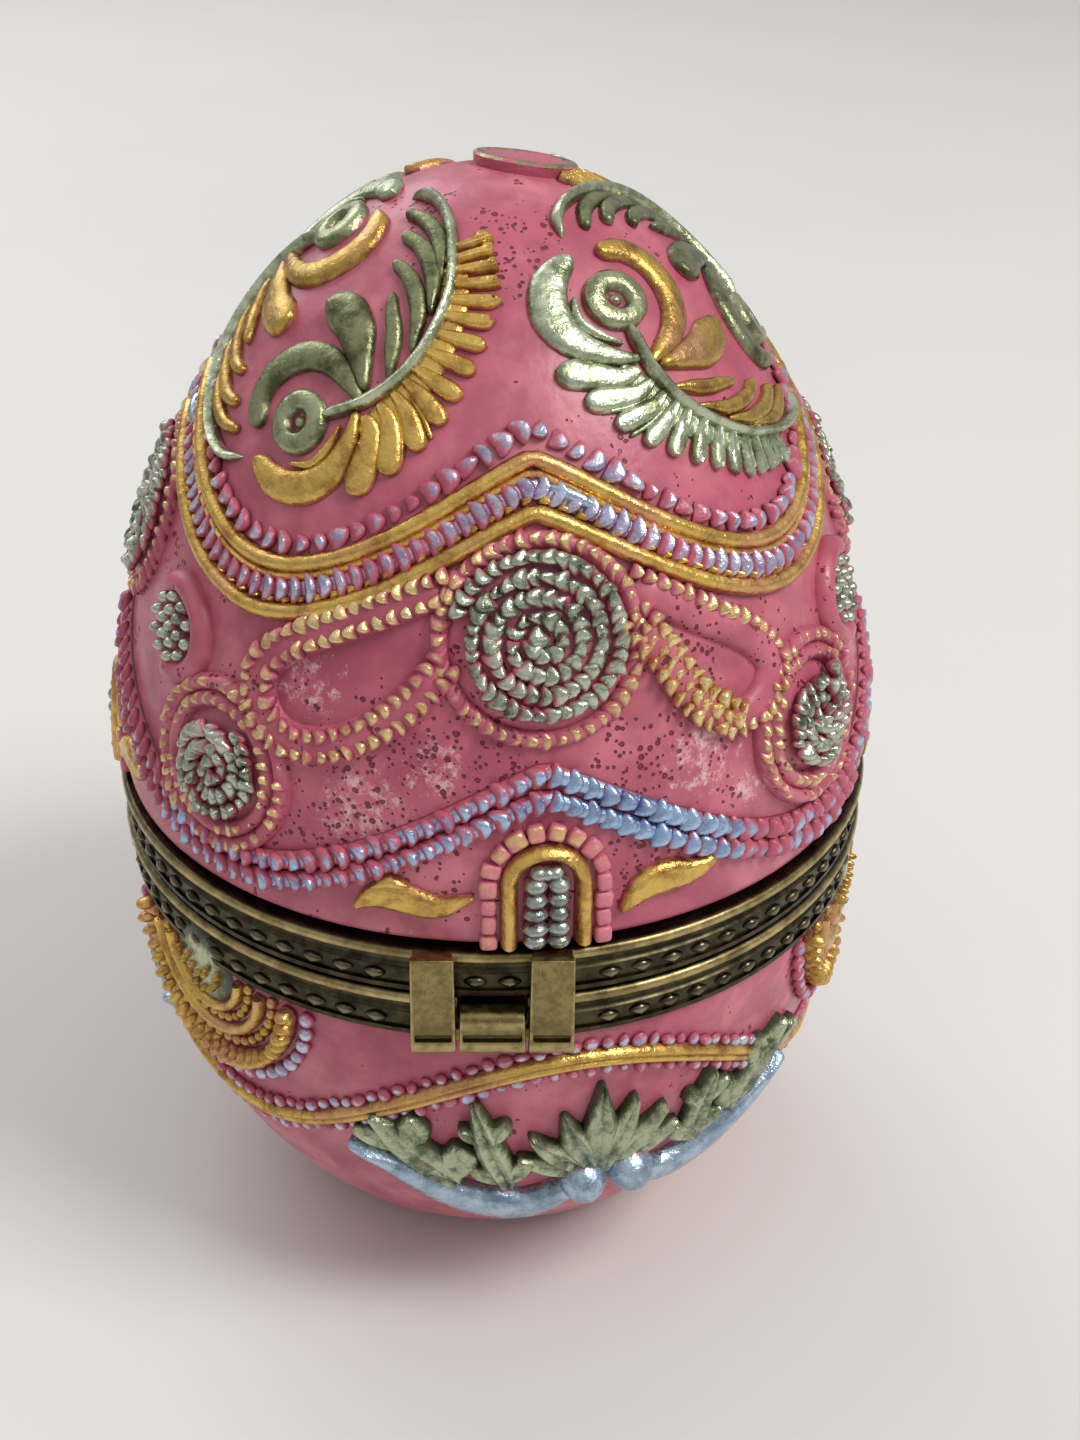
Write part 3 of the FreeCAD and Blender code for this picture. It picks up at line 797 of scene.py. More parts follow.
def make_lid_waves():
    """The wavy frieze: a row of scales, a double gold band, a rope of links and a notched gold band."""
    scales = Casting()
    scales.string(lid_ring(68.0, 60.7), LINK, 1.25, (1.2, 1.35, 0.85), closed=True, wobble=0.28,
                  twist=0.35)
    scales.make("lid_upper_scales", "lid", LILAC, "lilac_blue_rub")

    gold = Casting()
    gold.band(lid_ring(66.5, 59.6), hump(1.15, 0.75), closed=True)
    gold.band(lid_ring(65.75, 58.9), hump(0.6, 0.55), closed=True)
    gold.band(lid_ring(63.75, 56.9), hump(1.2, 0.8), closed=True)
    gold.string(lid_ring(64.5, 57.6), LINK, 1.15, (0.8, 0.5, 0.85), closed=True)
    gold.make("lid_gold_bands", "lid", GOLD, "gold_rub")

    rope = Casting()
    rope.band(lid_ring(65.1, 58.2), hump(1.4, 0.4), closed=True)
    rope.string(lid_ring(65.1, 58.2), LINK, 1.02, (0.95, 1.8, 0.85), closed=True, sink=0.1, wobble=0.12)
    rope.make("lid_link_rope", "lid", LILAC, "lilac_blue_rub")

    smear = Casting()
    for azimuth in LID_CUSPS:
        turn = azimuth + np.linspace(1.5, 12, 14)
        smear.band(egg_points(turn, lid_wave(turn, 65.35, 58.45)), hump(1.0, 0.85), fade=1.5)
    smear.make("lid_cusp_smears", "lid", BLUE_SILVER, "lilac_blue_rub")


def spiral_line(radius, pitch, azimuth, level):
    turns = radius / pitch
    angle = np.linspace(0.35 * 2 * math.pi, turns * 2 * math.pi, int(turns * 40))
    reach = pitch * angle / (2 * math.pi)
    flat = np.stack([reach * np.cos(angle), reach * np.sin(angle), 0.35 - 0 * angle], -1)
    return wrap(flat, azimuth, level)


def make_rosettes():
    """Coiled rope rosettes: a large one under each cusp, a smaller one in each valley."""
    fields = Casting()
    coils = Casting()
    rims = Casting()
    cushion = [(0, 1), (0.5, 0.95), (0.9, 0.75), (1, -0.2)]
    for azimuth in LID_CUSPS:
        fields.dome(0, 0, 5.6, 0.5, azimuth, ROSETTE_LEVEL, profile=cushion)
        coil = spiral_line(5.1, 1.15, azimuth, ROSETTE_LEVEL)
        coils.string(coil, LINK, 0.8, (1.08, 1.08, 0.95), sink=0.0, wobble=0.26, twist=0.35)
        coils.dome(0, 0, 0.5, 1.1, azimuth, ROSETTE_LEVEL, segments=8)
        line = ring_line(5.95, azimuth, ROSETTE_LEVEL)
        fields.band(line, hump(1.1, 0.55), closed=True)
        rims.string(line, LINK, 0.9, (1.0, 1.1, 0.95), closed=True, wobble=0.25, twist=0.35)
    for azimuth, level in LID_VALLEYS:
        fields.dome(0, 0, 3.8, 0.5, azimuth, level)
        coil = spiral_line(3.3, 1.05, azimuth, level)
        coils.string(coil, LINK, 0.76, (1.05, 1.0, 1.1), sink=0.0, wobble=0.26, twist=0.35)
        for radius, width in ((4.25, 0.95), (5.3, 0.95)):
            line = ring_line(radius, azimuth, level)
            fields.band(line, hump(width + 0.2, 0.8), closed=True)
            rims.string(line, LINK, 0.92, (0.95, width, 1.2), closed=True, wobble=0.25, twist=0.35)
    fields.make("rosette_fields", "lid", RESIN, "resin")
    coils.make("rosette_coils", "lid", COIL_GREEN, "silver_green_rub")
    rims.make("rosette_rims", "lid", ROSE_GOLD, "gold_rub")


LEFT_LOOP = [(-5.2, 3.4), (-10.6, 1.6), (-14.8, 0.0), (-16.4, -1.9), (-16.2, -4.4), (-14.6, -5.9),
             (-11.8, -5.8), (-8.4, -4.0), (-5.6, -1.2)]
RIGHT_LOOP = [(5.4, 3.0), (9.5, 1.0), (13.4, -0.9), (14.9, -2.8), (14.2, -4.9), (12.2, -5.9),
              (9.7, -4.4), (7.7, -1.8), (5.6, 1.0)]


def beside(points, gap):
    """The smooth curve through the points, moved to one side by a gap."""
    curve = smooth_line(points)
    ahead = np.gradient(curve, axis=0)
    ahead /= np.linalg.norm(ahead, axis=1, keepdims=True)
    return curve + gap * np.stack([-ahead[:, 1], ahead[:, 0]], -1)


def on_egg(curve, azimuth, level, height=0.0):
    return wrap(np.column_stack([curve, np.full(len(curve), height)]), azimuth, level)


def make_loops():
    """Rope bows beside the front and back rosettes, closed cups on the side panels."""
    tubes = Casting()
    ropes = Casting()
    for azimuth in (LID_CUSPS[0], LID_CUSPS[2]):
        for loop in (LEFT_LOOP, RIGHT_LOOP):
            tubes.band(on_egg(beside(loop, 0), azimuth, ROSETTE_LEVEL), hump(2.4, 0.75, 8), fade=1.2)
        rows = [(LEFT_LOOP, -0.62), (LEFT_LOOP, 0.62), (RIGHT_LOOP[:6], 0.75)]
        rows += [(RIGHT_LOOP[5:], gap) for gap in (-0.85, 0.0, 0.85)]
        for loop, gap in rows:
            row = on_egg(beside(loop, gap), azimuth, ROSETTE_LEVEL, 0.25)
            ropes.string(row, LINK, 0.92, (0.9, 1.1, 1.0), wobble=0.25, twist=0.3)
    tubes.make("bow_tubes", "lid", RESIN, "resin")
    ropes.make("bow_ropes", "lid", ROPE_GOLD, "gold_rub")

    cups = Casting()
    berries = Casting()
    for azimuth in (LID_CUSPS[1], LID_CUSPS[3]):
        for side in (-1, 1):
            x, y = side * 11.4, -3.0
            arc = [(x + side * 2.9 * math.cos(math.radians(a)), y + 2.9 * math.sin(math.radians(a)))
                   for a in (-100, -50, 0, 50, 100, 150)]
            cups.band(flat_line(arc, azimuth, ROSETTE_LEVEL), hump(1.7, 1.0), fade=1.2)
            for ring, count in ((0.0, 1), (1.0, 6), (1.9, 10)):
                for k in range(count):
                    angle = 2 * math.pi * k / count
                    berries.dome(x + ring * math.cos(angle), y + ring * math.sin(angle), 0.52, 1.05,
                                 azimuth, ROSETTE_LEVEL, segments=8)
    cups.make("side_cups", "lid", RESIN, "resin")
    berries.make("side_cup_beads", "lid", COIL_GREEN, "silver_green_rub")


def make_swag():
    """Double rope that dips to the bezel between the cusps."""
    rope = Casting()
    for peak, valley in ((49.5, 41.2), (47.9, 39.8)):
        line = lid_ring(peak, valley, 1.0)
        rope.band(line, hump(1.3, 0.55), closed=True)
        rope.string(line, LINK, 1.2, (1.1, 1.5, 1.0), closed=True, sink=0.1, wobble=0.18, twist=0.2)
    rope.make("swag_ropes", "lid", SWAG_BLUE, "lilac_blue_rub")


def arch_line(half_width, top, foot):
    """Flat arch: two straight legs and a half-round head."""
    points = [(-half_width, foot), (-half_width, (foot + top - half_width) / 2)]
    for k in range(9):
        angle = math.pi - math.pi * k / 8
        points.append((half_width * math.cos(angle), top - half_width + half_width * math.sin(angle)))
    return points + [(half_width, (foot + top - half_width) / 2), (half_width, foot)]


def make_arches():
    """Small arch over the bezel under each cusp, with leaves beside it."""
    level = ARCH_LEVEL
    foot = LID_SHOULDER + 0.25 - level
    frames = Casting()
    blocks = Casting()
    silver = Casting()
    leaves = Casting()
    for azimuth in LID_CUSPS:
        frames.band(flat_line(arch_line(2.3, 3.0, foot), azimuth, level), hump(1.15, 1.0), pitch=0.4)
        outer = flat_line(arch_line(3.55, 4.3, foot + 0.3), azimuth, level)
        blocks.string(outer, BLOCK, 1.28, (1.12, 1.1, 0.9), sink=0.3, wobble=0.16, twist=0.12)
        for x in (-0.72, 0.72):
            column = flat_line([(x, foot + 0.35), (x, 0.9)], azimuth, level)
            silver.string(column, GRAIN, 0.95, (1.15, 1.6, 1.5), sink=0.2, wobble=0.12)
        cap = flat_line([(-0.5, 1.65), (0.5, 1.65)], azimuth, level)
        silver.string(cap, GRAIN, 1.0, (1.2, 1.1, 1.3), sink=0.2)
        left = [(-11.6, -1.3), (-10.2, -0.3), (-8.6, -0.35), (-6.6, -0.8), (-4.4, 0.1)]
        curl = [(-10.4, 0.2), (-9.4, 0.85), (-8.2, 0.5)]
        right = [(4.6, -1.8), (6.0, -0.4), (7.6, 0.1), (9.4, 0.0), (11.3, 0.9)]
        leaves.leaf(left, (0.3, 2.1, 2.2, 1.5, 0.3), 0.7, azimuth, level, vein=0.15)
        leaves.leaf(curl, (0.3, 1.0, 0.3), 0.75, azimuth, level)
        leaves.leaf(right, (0.3, 2.0, 2.5, 1.6, 0.3), 0.7, azimuth, level, vein=0.15)
    frames.make("arch_frames", "lid", GOLD, "gold_rub")
    blocks.make("arch_blocks", "lid", PALE_BLOCKS, "gold_rub")
    silver.make("arch_silver_beads", "lid", STEEL, "silver_green_rub")
    leaves.make("arch_leaves", "lid", GOLD, "gold_rub")


def polar(radius, degrees):
    return (radius * math.cos(math.radians(degrees)), radius * math.sin(math.radians(degrees)))


EYE = (3.9, -6.1)
STEM = [(4.9, -5.5), (7.3, -3.2), (8.4, -0.8), (8.5, 1.9), (7.7, 4.7), (6.4, 6.6), (4.8, 8.3), (3.0, 9.5),
        (1.2, 10.0), (-0.3, 9.6)]
CRESCENT = [(0.9, -7.6), (-0.1, -6.2), (0.0, -4.4), (1.2, -2.9), (3.0, -2.1), (5.0, -2.3), (7.2, -3.3)]
TEARDROP = [(1.2, 1.0), (2.4, 1.0), (4.0, 0.4), (5.4, -0.9), (7.0, -2.6)]
BLADES = [
    ([(4.8, 3.3), (5.6, 2.2), (6.6, 1.0), (7.9, -1.4)], (0.5, 1.05, 1.1, 0.35)),
    ([(3.4, 5.0), (5.0, 4.6), (6.9, 3.0), (8.1, 0.7)], (0.8, 1.15, 1.05, 0.35)),
    ([(2.3, 6.9), (4.2, 6.6), (6.2, 5.2), (7.6, 3.2)], (0.9, 1.15, 1.05, 0.35)),
    ([(1.0, 8.3), (2.9, 8.3), (4.9, 7.3), (6.6, 5.4)], (0.7, 1.05, 1.0, 0.35)),
]
LOW_CRESCENT = [(1.9, -9.2), (3.9, -9.9), (6.1, -9.3), (7.4, -7.7), (7.6, -5.6), (7.2, -3.9)]
INNER_CRESCENT = [(4.6, -8.5), (6.0, -7.9), (6.6, -6.5), (6.6, -5.1)]
EYE_PROFILE = [(0, 0.6), (0.12, 0.5), (0.19, 0.15), (0.3, 0.15), (0.39, 0.85), (0.46, 1.0),
               (0.8, 0.95), (0.94, 0.7), (1, -0.3)]
PLEATS = 13


def half_medallion(inside, fan, stem, eyes, azimuth, level, turn):
    """One of the two turned halves: an eye, a stem curling round it, blades inside and a fan outside."""
    here = dict(azimuth=azimuth, level=level, turn=turn)
    inside.leaf(CRESCENT, (1.3, 1.9, 2.1, 2.1, 1.9, 1.5, 0.5), 0.62, steps=18, **here)
    inside.leaf(TEARDROP, (2.5, 2.9, 2.5, 1.6, 0.5), 0.65, steps=14, **here)
    for points, widths in BLADES:
        inside.leaf(points, widths, 0.55, steps=12, **here)
    eyes.dome(EYE[0], EYE[1], 2.05, 0.72, profile=EYE_PROFILE, **here)
    fan.leaf(LOW_CRESCENT, (1.3, 2.1, 2.2, 1.9, 1.3, 0.5), 0.62, steps=16, **here)
    fan.leaf(INNER_CRESCENT, (0.3, 0.6, 0.6, 0.25), 0.6, steps=10, **here)
    for k in range(PLEATS):
        tip_angle = -42 + 11.4 * k - 0.27 * k * k
        root_angle = tip_angle * (0.62 if tip_angle < 0 else 0.93)
        reach = 12.3 - 0.14 * k
        width = 1.9 - 0.24 * k if k < 3 else 1.36 - 0.065 * (k - 3)
        points = [polar(8.6, root_angle), polar(9.9, root_angle * 0.85 + tip_angle * 0.15),
                  polar(11.3, root_angle * 0.35 + tip_angle * 0.65), polar(reach, tip_angle)]
        fan.leaf(points, [share * width for share in (0.45, 0.7, 0.9, 1.0, 1.0)], 0.58, vein=0.12, **here)
        if k < 3:
            ridge = [polar(9.2, root_angle + 3.6), polar(10.8, tip_angle * 0.8 + 4.6),
                     polar(12.0, tip_angle + 5.6)]
            fan.leaf(ridge, (0.25, 0.4, 0.3), 0.5, steps=6, **here)
    web = [polar(9.3, a) for a in (-32, -22, -12, 0, 12, 24, 36, 46)]
    fan.leaf(web, (1.2, 1.8, 2.0, 1.9, 1.8, 1.7, 1.4), 0.3, steps=30, **here)
    stem.band(flat_line(STEM, azimuth, level, turn), hump(0.8, 0.9, 6), pitch=0.4, fade=1.5)


def make_medallions():
    """Turned medallions in front, single halves behind; the colours change sides from one to the next."""
    eyes = Casting()
    for k, (azimuth, turn, halves) in enumerate(MEDALLIONS):
        stem = Casting()
        label = "medallion_%d_" % (k + 1)
        for half in range(halves):
            inside, fan = Casting(), Casting()
            half_medallion(inside, fan, stem, eyes, azimuth, MEDALLION_LEVEL, turn + 180 * half)
            green = (k + half) % 2
            if green:
                inside.make(label + "green_blades", "lid", OLIVE, "silver_green_rub")
                fan.make(label + "gold_fan", "lid", GOLD, "gold_rub")
            else:
                inside.make(label + "gold_blades", "lid", BRONZE, "gold_rub")
                fan.make(label + "green_fan", "lid", SILVER_GREEN, "silver_green_rub")
        stem.make(label + "stems", "lid", SILVER_GREEN, "silver_green_rub")
    eyes.make("medallion_eyes", "lid", EYE_GREEN, "silver_green_rub")


def make_tip_disc():
    """The raised disc beside the tip, with a rubbed rim."""
    disc = Casting()
    level = float(WIDEST + (EGG_TIP - WIDEST) * (1 - (BOSS_REACH / EGG_RADIUS) ** 2) ** (1 / LID_POINT))
    profile = [(0, 0.72), (0.45, 0.72), (0.76, 0.72), (0.84, 0.98), (0.94, 1.0), (1.0, 0.85), (1.01, -0.6)]
    disc.dome(0, 0, BOSS_RADIUS, 0.75, BOSS_AZIMUTH, level, profile=profile, segments=56)
    disc.make("tip_disc", "lid", OLIVE_RIM, "silver_green_rub")


# ------------------------------------------------------------------ the base's ornament
def base_ring(top):
    turn = np.linspace(0, 360, 720, endpoint=False) + BASE_TURN
    return egg_points(turn, top - 5.5 * (1 - np.cos(np.radians(3 * (turn - BASE_TURN)))))


def make_base_waves():
    beads = Casting()
    beads.string(base_ring(28.95), GRAIN, 1.15, (1.0, 0.95, 0.7), closed=True, wobble=0.3)
    beads.string(base_ring(26.6), GRAIN, 1.2, (1.05, 1.0, 0.7), closed=True, wobble=0.3)
    beads.make("base_beads", "base", LILAC, "lilac_blue_rub")
    gold = Casting()
    gold.band(base_ring(28.1), hump(0.9, 0.8), closed=True)
    gold.band(base_ring(27.35), hump(0.75, 0.65), closed=True)
    gold.make("base_gold_bands", "base", GOLD, "gold_rub")


def half_ring(radius, azimuth, level):
    angles = np.radians(np.linspace(185, 355, 40))
    flat = np.stack([radius * np.cos(angles), radius * np.sin(angles), 0 * angles], -1)
    return wrap(flat, azimuth, level)


def make_base_fans():
    """Half rosettes that hang from the bezel between the garlands."""
    level = BASE_SHOULDER - 0.2
    purple = Casting()
    gold = Casting()
    brown = Casting()
    field = Casting()
    for azimuth in FANS:
        purple.string(half_ring(9.6, azimuth, level), GRAIN, 1.35, (1.15, 1.2, 1.0))
        gold.band(half_ring(8.2, azimuth, level), hump(1.25, 0.95))
        gold.string(half_ring(8.2, azimuth, level), GRAIN, 1.05, (0.95, 1.35, 1.9), sink=0.2)
        brown.string(half_ring(6.9, azimuth, level), GRAIN, 1.1, (0.95, 0.9, 0.8))
        gold.band(half_ring(5.9, azimuth, level), hump(0.9, 0.85))
        brown.string(half_ring(4.9, azimuth, level), GRAIN, 0.95, (0.85, 0.8, 0.75))
        gold.band(half_ring(4.0, azimuth, level), hump(0.8, 0.8))
        field.dome(0, -0.6, 3.4, 0.55, azimuth, level - 0.4)
        for ring in (1.1, 2.2):
            brown.string(half_ring(ring, azimuth, level - 0.3), GRAIN, 0.9, (0.6, 0.6, 1.4))
    purple.make("fan_outer_beads", "base", LILAC, "lilac_blue_rub")
    gold.make("fan_gold_rings", "base", GOLD, "gold_rub")
    brown.make("fan_bronze_beads", "base", BRONZE, "gold_rub")
    field.make("fan_fields", "base", LEAF_GREEN, "silver_green_rub")


def lobed_leaf(casting, root, tip, width, azimuth, level):
    """An acanthus leaf: two pairs of fat lobes spring from a broad midrib."""
    rise = 1.1
    root, tip = np.array(root, float), np.array(tip, float)
    line = tip - root
    length = np.linalg.norm(line)
    ahead = line / length
    side = np.array([-ahead[1], ahead[0]])
    spine = [root, root + 0.5 * line + 0.2 * side, tip]
    casting.leaf(spine, (width * 0.6, width * 0.9, width * 0.75, 0.6), rise, azimuth, level, vein=0.3)
    for share in (0.1, 0.6):
        reach = width * (1.05 - 0.4 * share)
        for hand in (-1, 1):
            start = root + share * line
            end = start + hand * reach * 0.72 * side + reach * 0.75 * ahead
            middle = (start + end) / 2 + hand * 0.12 * reach * side
            casting.leaf([start, middle, end], (reach * 0.6, reach * 0.8, reach * 0.7, 0.5), rise * 0.9,
                         azimuth, level, vein=0.25, steps=8)


SIDE_LEAVES = [((-4.2, -3.2), (-7.0, 6.4), 2.7), ((-7.6, -3.0), (-13.4, 3.4), 4.0),
               ((9.0, -3.0), (9.9, 4.8), 2.7), ((12.4, -2.4), (16.2, 4.4), 3.8)]     # root, tip, width
BERRY_PROFILE = [(0, 1), (0.3, 0.96), (0.58, 0.83), (0.8, 0.62), (0.94, 0.35), (1.0, 0.05), (0.97, -0.1)]


def make_garlands():
    """Acanthus garland with two berries under each crest of the wave."""
    level = GARLAND_LEVEL
    leaves = Casting()
    stems = Casting()
    berries = Casting()
    for azimuth in GARLANDS:
        tips = [(-3.9, 0.4), (-3.2, 2.8), (-1.0, 4.7), (1.5, 7.3), (4.0, 5.4), (6.4, 3.4), (7.6, 0.8)]
        for k, tip in enumerate(tips):
            root = (1.9 + 0.25 * (k - 3), -2.4)
            middle = ((root[0] + 2 * tip[0]) / 3 + 0.1 * (k - 3), (root[1] + 2 * tip[1]) / 3)
            leaves.leaf([root, middle, tip], (1.0, 2.9 - 0.12 * abs(k - 3), 0.5), 1.1 - 0.05 * abs(k - 3),
                        azimuth, level, vein=0.3)
        for root, tip, width in SIDE_LEAVES:
            lobed_leaf(leaves, root, tip, width, azimuth, level)
        left = [(0.4, -3.4), (-2.6, -6.2), (-5.6, -5.8), (-8.8, -4.0), (-11.8, -1.6), (-14.6, -0.4)]
        right = [(4.4, -3.2), (7.0, -5.2), (10.2, -4.4), (13.4, -2.3), (16.6, 0.1)]
        stems.leaf(left, (1.2, 3.0, 3.2, 2.5, 1.7, 0.5), 1.5, azimuth, level, steps=20)
        stems.leaf(right, (1.2, 2.7, 2.8, 2.0, 0.5), 1.5, azimuth, level, steps=18)
        for x in (0.8, 4.2):
            berries.dome(x, -2.8, 1.75, 2.6, azimuth, level, profile=BERRY_PROFILE, segments=22)
    leaves.make("garland_leaves", "base", LEAF_GREEN, "silver_green_rub")
    stems.make("garland_stems", "base", BLUE_SILVER, "lilac_blue_rub")
    berries.make("garland_berries", "base", BLUE_SILVER, "lilac_blue_rub")


# ------------------------------------------------------------------ the metalwork
def bezel_beads(name, low, body, skip):
    """Row of stamped pointed beads round a bezel, left out where a fitting covers them."""
    count, rise, radius = 79, 0.95, 27.3
    beads = Casting()
    level = low + rise
    corners, faces = DIAMOND
    for k in range(count):
        angle = 2 * math.pi * (k + 0.5) / count
        x, y = radius * math.sin(angle), -radius * math.cos(angle)
        if skip(x, y):
            continue
        out = np.array([math.sin(angle), -math.cos(angle), 0])
        around = np.array([math.cos(angle), math.sin(angle), 0])
        spot = (np.array([x, y, level]) + corners[:, :1] * 1.55 * around
                + corners[:, 1:2] * 0.88 * np.array([0, 0, 1]) + corners[:, 2:] * 0.8 * out)
        beads.add(spot, faces, np.clip(corners[:, 2] * 2, 0, 1))
    beads.make(name, body, BEAD_BRASS, "antique_brass")


def bead_brass_material():
    material, tree, shader = new_material("bead_brass")
    lift = height_mark(tree)
    stain = ramp(tree, noise(tree, 1.2, 4.0), 0.34, 0.66)
    worn = sums(tree, "MULTIPLY", ramp(tree, lift, 0.3, 1.0),
                ramp(tree, noise(tree, 3.0, 3.0), 0.3, 0.62, 0.15, 0.8))
    aged = mix(tree, stain, (0.032, 0.027, 0.018), (0.085, 0.07, 0.045))
    colour = mix(tree, worn, aged, (0.36, 0.30, 0.19))
    metal_surface(tree, shader, colour, 0.8, (0.2, 0.36), (0.4, 4.0), 0.02, 0.7)
    return material


BEAD_BRASS = bead_brass_material()


def plate_piece(name, outline, x_low, x_high, body, bevel=0.12, flare=0.0):
    """A formed strip: its side outline (y, z) pushed across in x, with eased edges."""
    mesh = bpy.data.meshes.new(name)
    mesh.from_pydata([(x_low * MM, y * MM, z * MM) for y, z in outline], [], [tuple(range(len(outline)))])
    piece = put_in_scene(name, mesh)
    pick(piece)
    bpy.ops.object.mode_set(mode="EDIT")
    bpy.ops.mesh.select_mode(type="FACE")
    bpy.ops.mesh.select_all(action="SELECT")
    bpy.ops.mesh.extrude_region_move(TRANSFORM_OT_translate={"value": ((x_high - x_low) * MM, 0, 0)})
    bpy.ops.mesh.select_all(action="SELECT")
    bpy.ops.mesh.normals_make_consistent(inside=False)
    bpy.ops.object.mode_set(mode="OBJECT")
    if flare:
        low = min(z for _, z in outline) * MM
        high = max(z for _, z in outline) * MM
        middle = (x_low + x_high) / 2 * MM
        for vertex in mesh.vertices:
            share = (high - vertex.co.z) / (high - low)
            vertex.co.x = middle + (vertex.co.x - middle) * (1 + flare * (share - 0.5))
    apply_modifier(piece, "BEVEL", width=bevel * MM, segments=3, limit_method="ANGLE",
                   angle_limit=math.radians(38))
    mark_edges(piece, x_low, x_high)
    finish_piece(piece, body, WORN_BRASS, angle=35)
    return piece


def mark_edges(piece, x_low, x_high):
    """Marks the rubbed side edges, where the brass is brightest."""
    mesh = piece.data
    marks = mesh.attributes.get("lift") or mesh.attributes.new("lift", "FLOAT", "POINT")
    values = []
    for vertex in mesh.vertices:
        edge = min(vertex.co.x / MM - x_low, x_high - vertex.co.x / MM)
        values.append(0.75 if edge < 0.16 else 0.12)
    marks.data.foreach_set("value", values)


def strap_outline():
    """Side view of a strap: a flat plate rolled round the pin."""
    outer, inner = STRAP_LOW.y, STRAP_LOW.y + 0.6
    radius = PIN_Y - outer
    outline = [(inner, STRAP_HIGH.z), (outer, STRAP_HIGH.z)]
    for k in range(19):
        angle = math.radians(180 + 232 * k / 18)
        outline.append((PIN_Y + radius * math.cos(angle), PIN_Z + radius * math.sin(angle)))
    return outline + [(inner + 0.35, PIN_Z + radius - 0.05), (inner, PIN_Z + radius + 0.25)]


def tab_outline():
    """Side view of the centre knuckle: a roll whose leaf goes in through the window."""
    radius = PIN_Y - TAB_LOW.y
    front, top, corner = TAB_LOW.y, PIN_Z + 2.35, 0.6
    outline = [(PIN_Y + 2.2, PIN_Z + radius), (PIN_Y + 0.6, PIN_Z + radius + 0.05), (PIN_Y + 0.1, top)]
    for k in range(6):
        angle = math.radians(90 + 90 * k / 5)
        outline.append((front + corner + corner * math.cos(angle), top - corner + corner * math.sin(angle)))
    for k in range(17):
        angle = math.radians(180 + 200 * k / 16)
        outline.append((PIN_Y + radius * math.cos(angle), PIN_Z + radius * math.sin(angle)))
    return outline + [(PIN_Y + 1.2, PIN_Z + radius - 0.5), (PIN_Y + 2.2, PIN_Z + radius - 0.5)]


def cut_away(piece, cutter):
    """Cuts one shape out of a piece and puts the cutter away."""
    pick(piece)
    apply_modifier(piece, "BOOLEAN", operation="DIFFERENCE", solver="EXACT", object=cutter)
    bpy.data.objects.remove(cutter)


def soft_block(x_low, x_high, y_low, y_high, z_low, z_high, bevel=0.0):
    """A block at its place, with rounded edges when asked."""
    clear_selection()
    middle = [(x_low + x_high) / 2 * MM, (y_low + y_high) / 2 * MM, (z_low + z_high) / 2 * MM]
    bpy.ops.mesh.primitive_cube_add(size=1, location=middle)
    block = bpy.context.object
    block.scale = ((x_high - x_low) * MM, (y_high - y_low) * MM, (z_high - z_low) * MM)
    bpy.ops.object.transform_apply(location=True, rotation=False, scale=True)
    if bevel:
        apply_modifier(block, "BEVEL", width=bevel * MM, segments=3)
    return block


def lip_slot(piece, x_low, x_high, front):
    """The thin slot above the rolled lip of a knuckle."""
    slot = soft_block(x_low + 0.22, x_high - 0.22, front - 0.3, front + 0.45,
                      PIN_Z + 0.3, PIN_Z + 0.9, 0.14)
    cut_away(piece, slot)
    apply_modifier(piece, "WEIGHTED_NORMAL", keep_sharp=True)


def make_hinge():
    for side, node in ((-1, "hinge_strap_left"), (1, "hinge_strap_right")):
        near, far = sorted((side * STRAP_LOW.x, side * STRAP_HIGH.x))
        strap = plate_piece(node + "_rolled", strap_outline(), near, far, "lid", flare=0.07)
        lip_slot(strap, near, far, STRAP_LOW.y)
        mark_edges(strap, near, far)
        plate_piece(node + "_solder", [
            (STRAP_LOW.y + 0.5, LID_BAND_LOW.z + 0.5), (STRAP_LOW.y + 0.5, LID_BAND_HIGH.z + 0.2),
            (BAND_INNER_Y, LID_BAND_HIGH.z - 0.1), (BAND_INNER_Y, LID_BAND_LOW.z + 0.5)],
            near + 0.12, far - 0.12, "lid")
        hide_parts(node)
    tab = plate_piece("hinge_centre_knuckle", tab_outline(), TAB_LOW.x, TAB_HIGH.x, "base", flare=0.05)
    lip_slot(tab, TAB_LOW.x, TAB_HIGH.x, TAB_LOW.y)
    mark_edges(tab, TAB_LOW.x, TAB_HIGH.x)
    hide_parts("hinge_tab")


def make_hinge_room(shell):
    """Room for the knuckles in the base shoulder, and the pocket behind the window, backed by a near-black sheet of
    painted shade.
    """
    clear_selection()
    bpy.ops.mesh.primitive_cylinder_add(vertices=40, radius=1.4 * MM, depth=2 * (STRAP_HIGH.x + 0.15) * MM,
                                        location=(0, PIN_Y * MM, PIN_Z * MM), rotation=(0, math.pi / 2, 0))
    bpy.ops.object.transform_apply(location=True, rotation=True, scale=True)
    cut_away(shell, bpy.context.object)
    cut_away(shell, soft_block(-2.25, 2.25, -26.2, -24.05, 32.35, 35.0))
    # painted shade: a near-black sheet at the back of the pocket, where the window only shows shade
    shade_backing = soft_block(-2.2, 2.2, -24.35, -23.95, 32.45, 33.55)
    shade_backing.name = "painted_shade_sheet"
    finish_piece(shade_backing, "base", WINDOW_SHADE_FINISH)


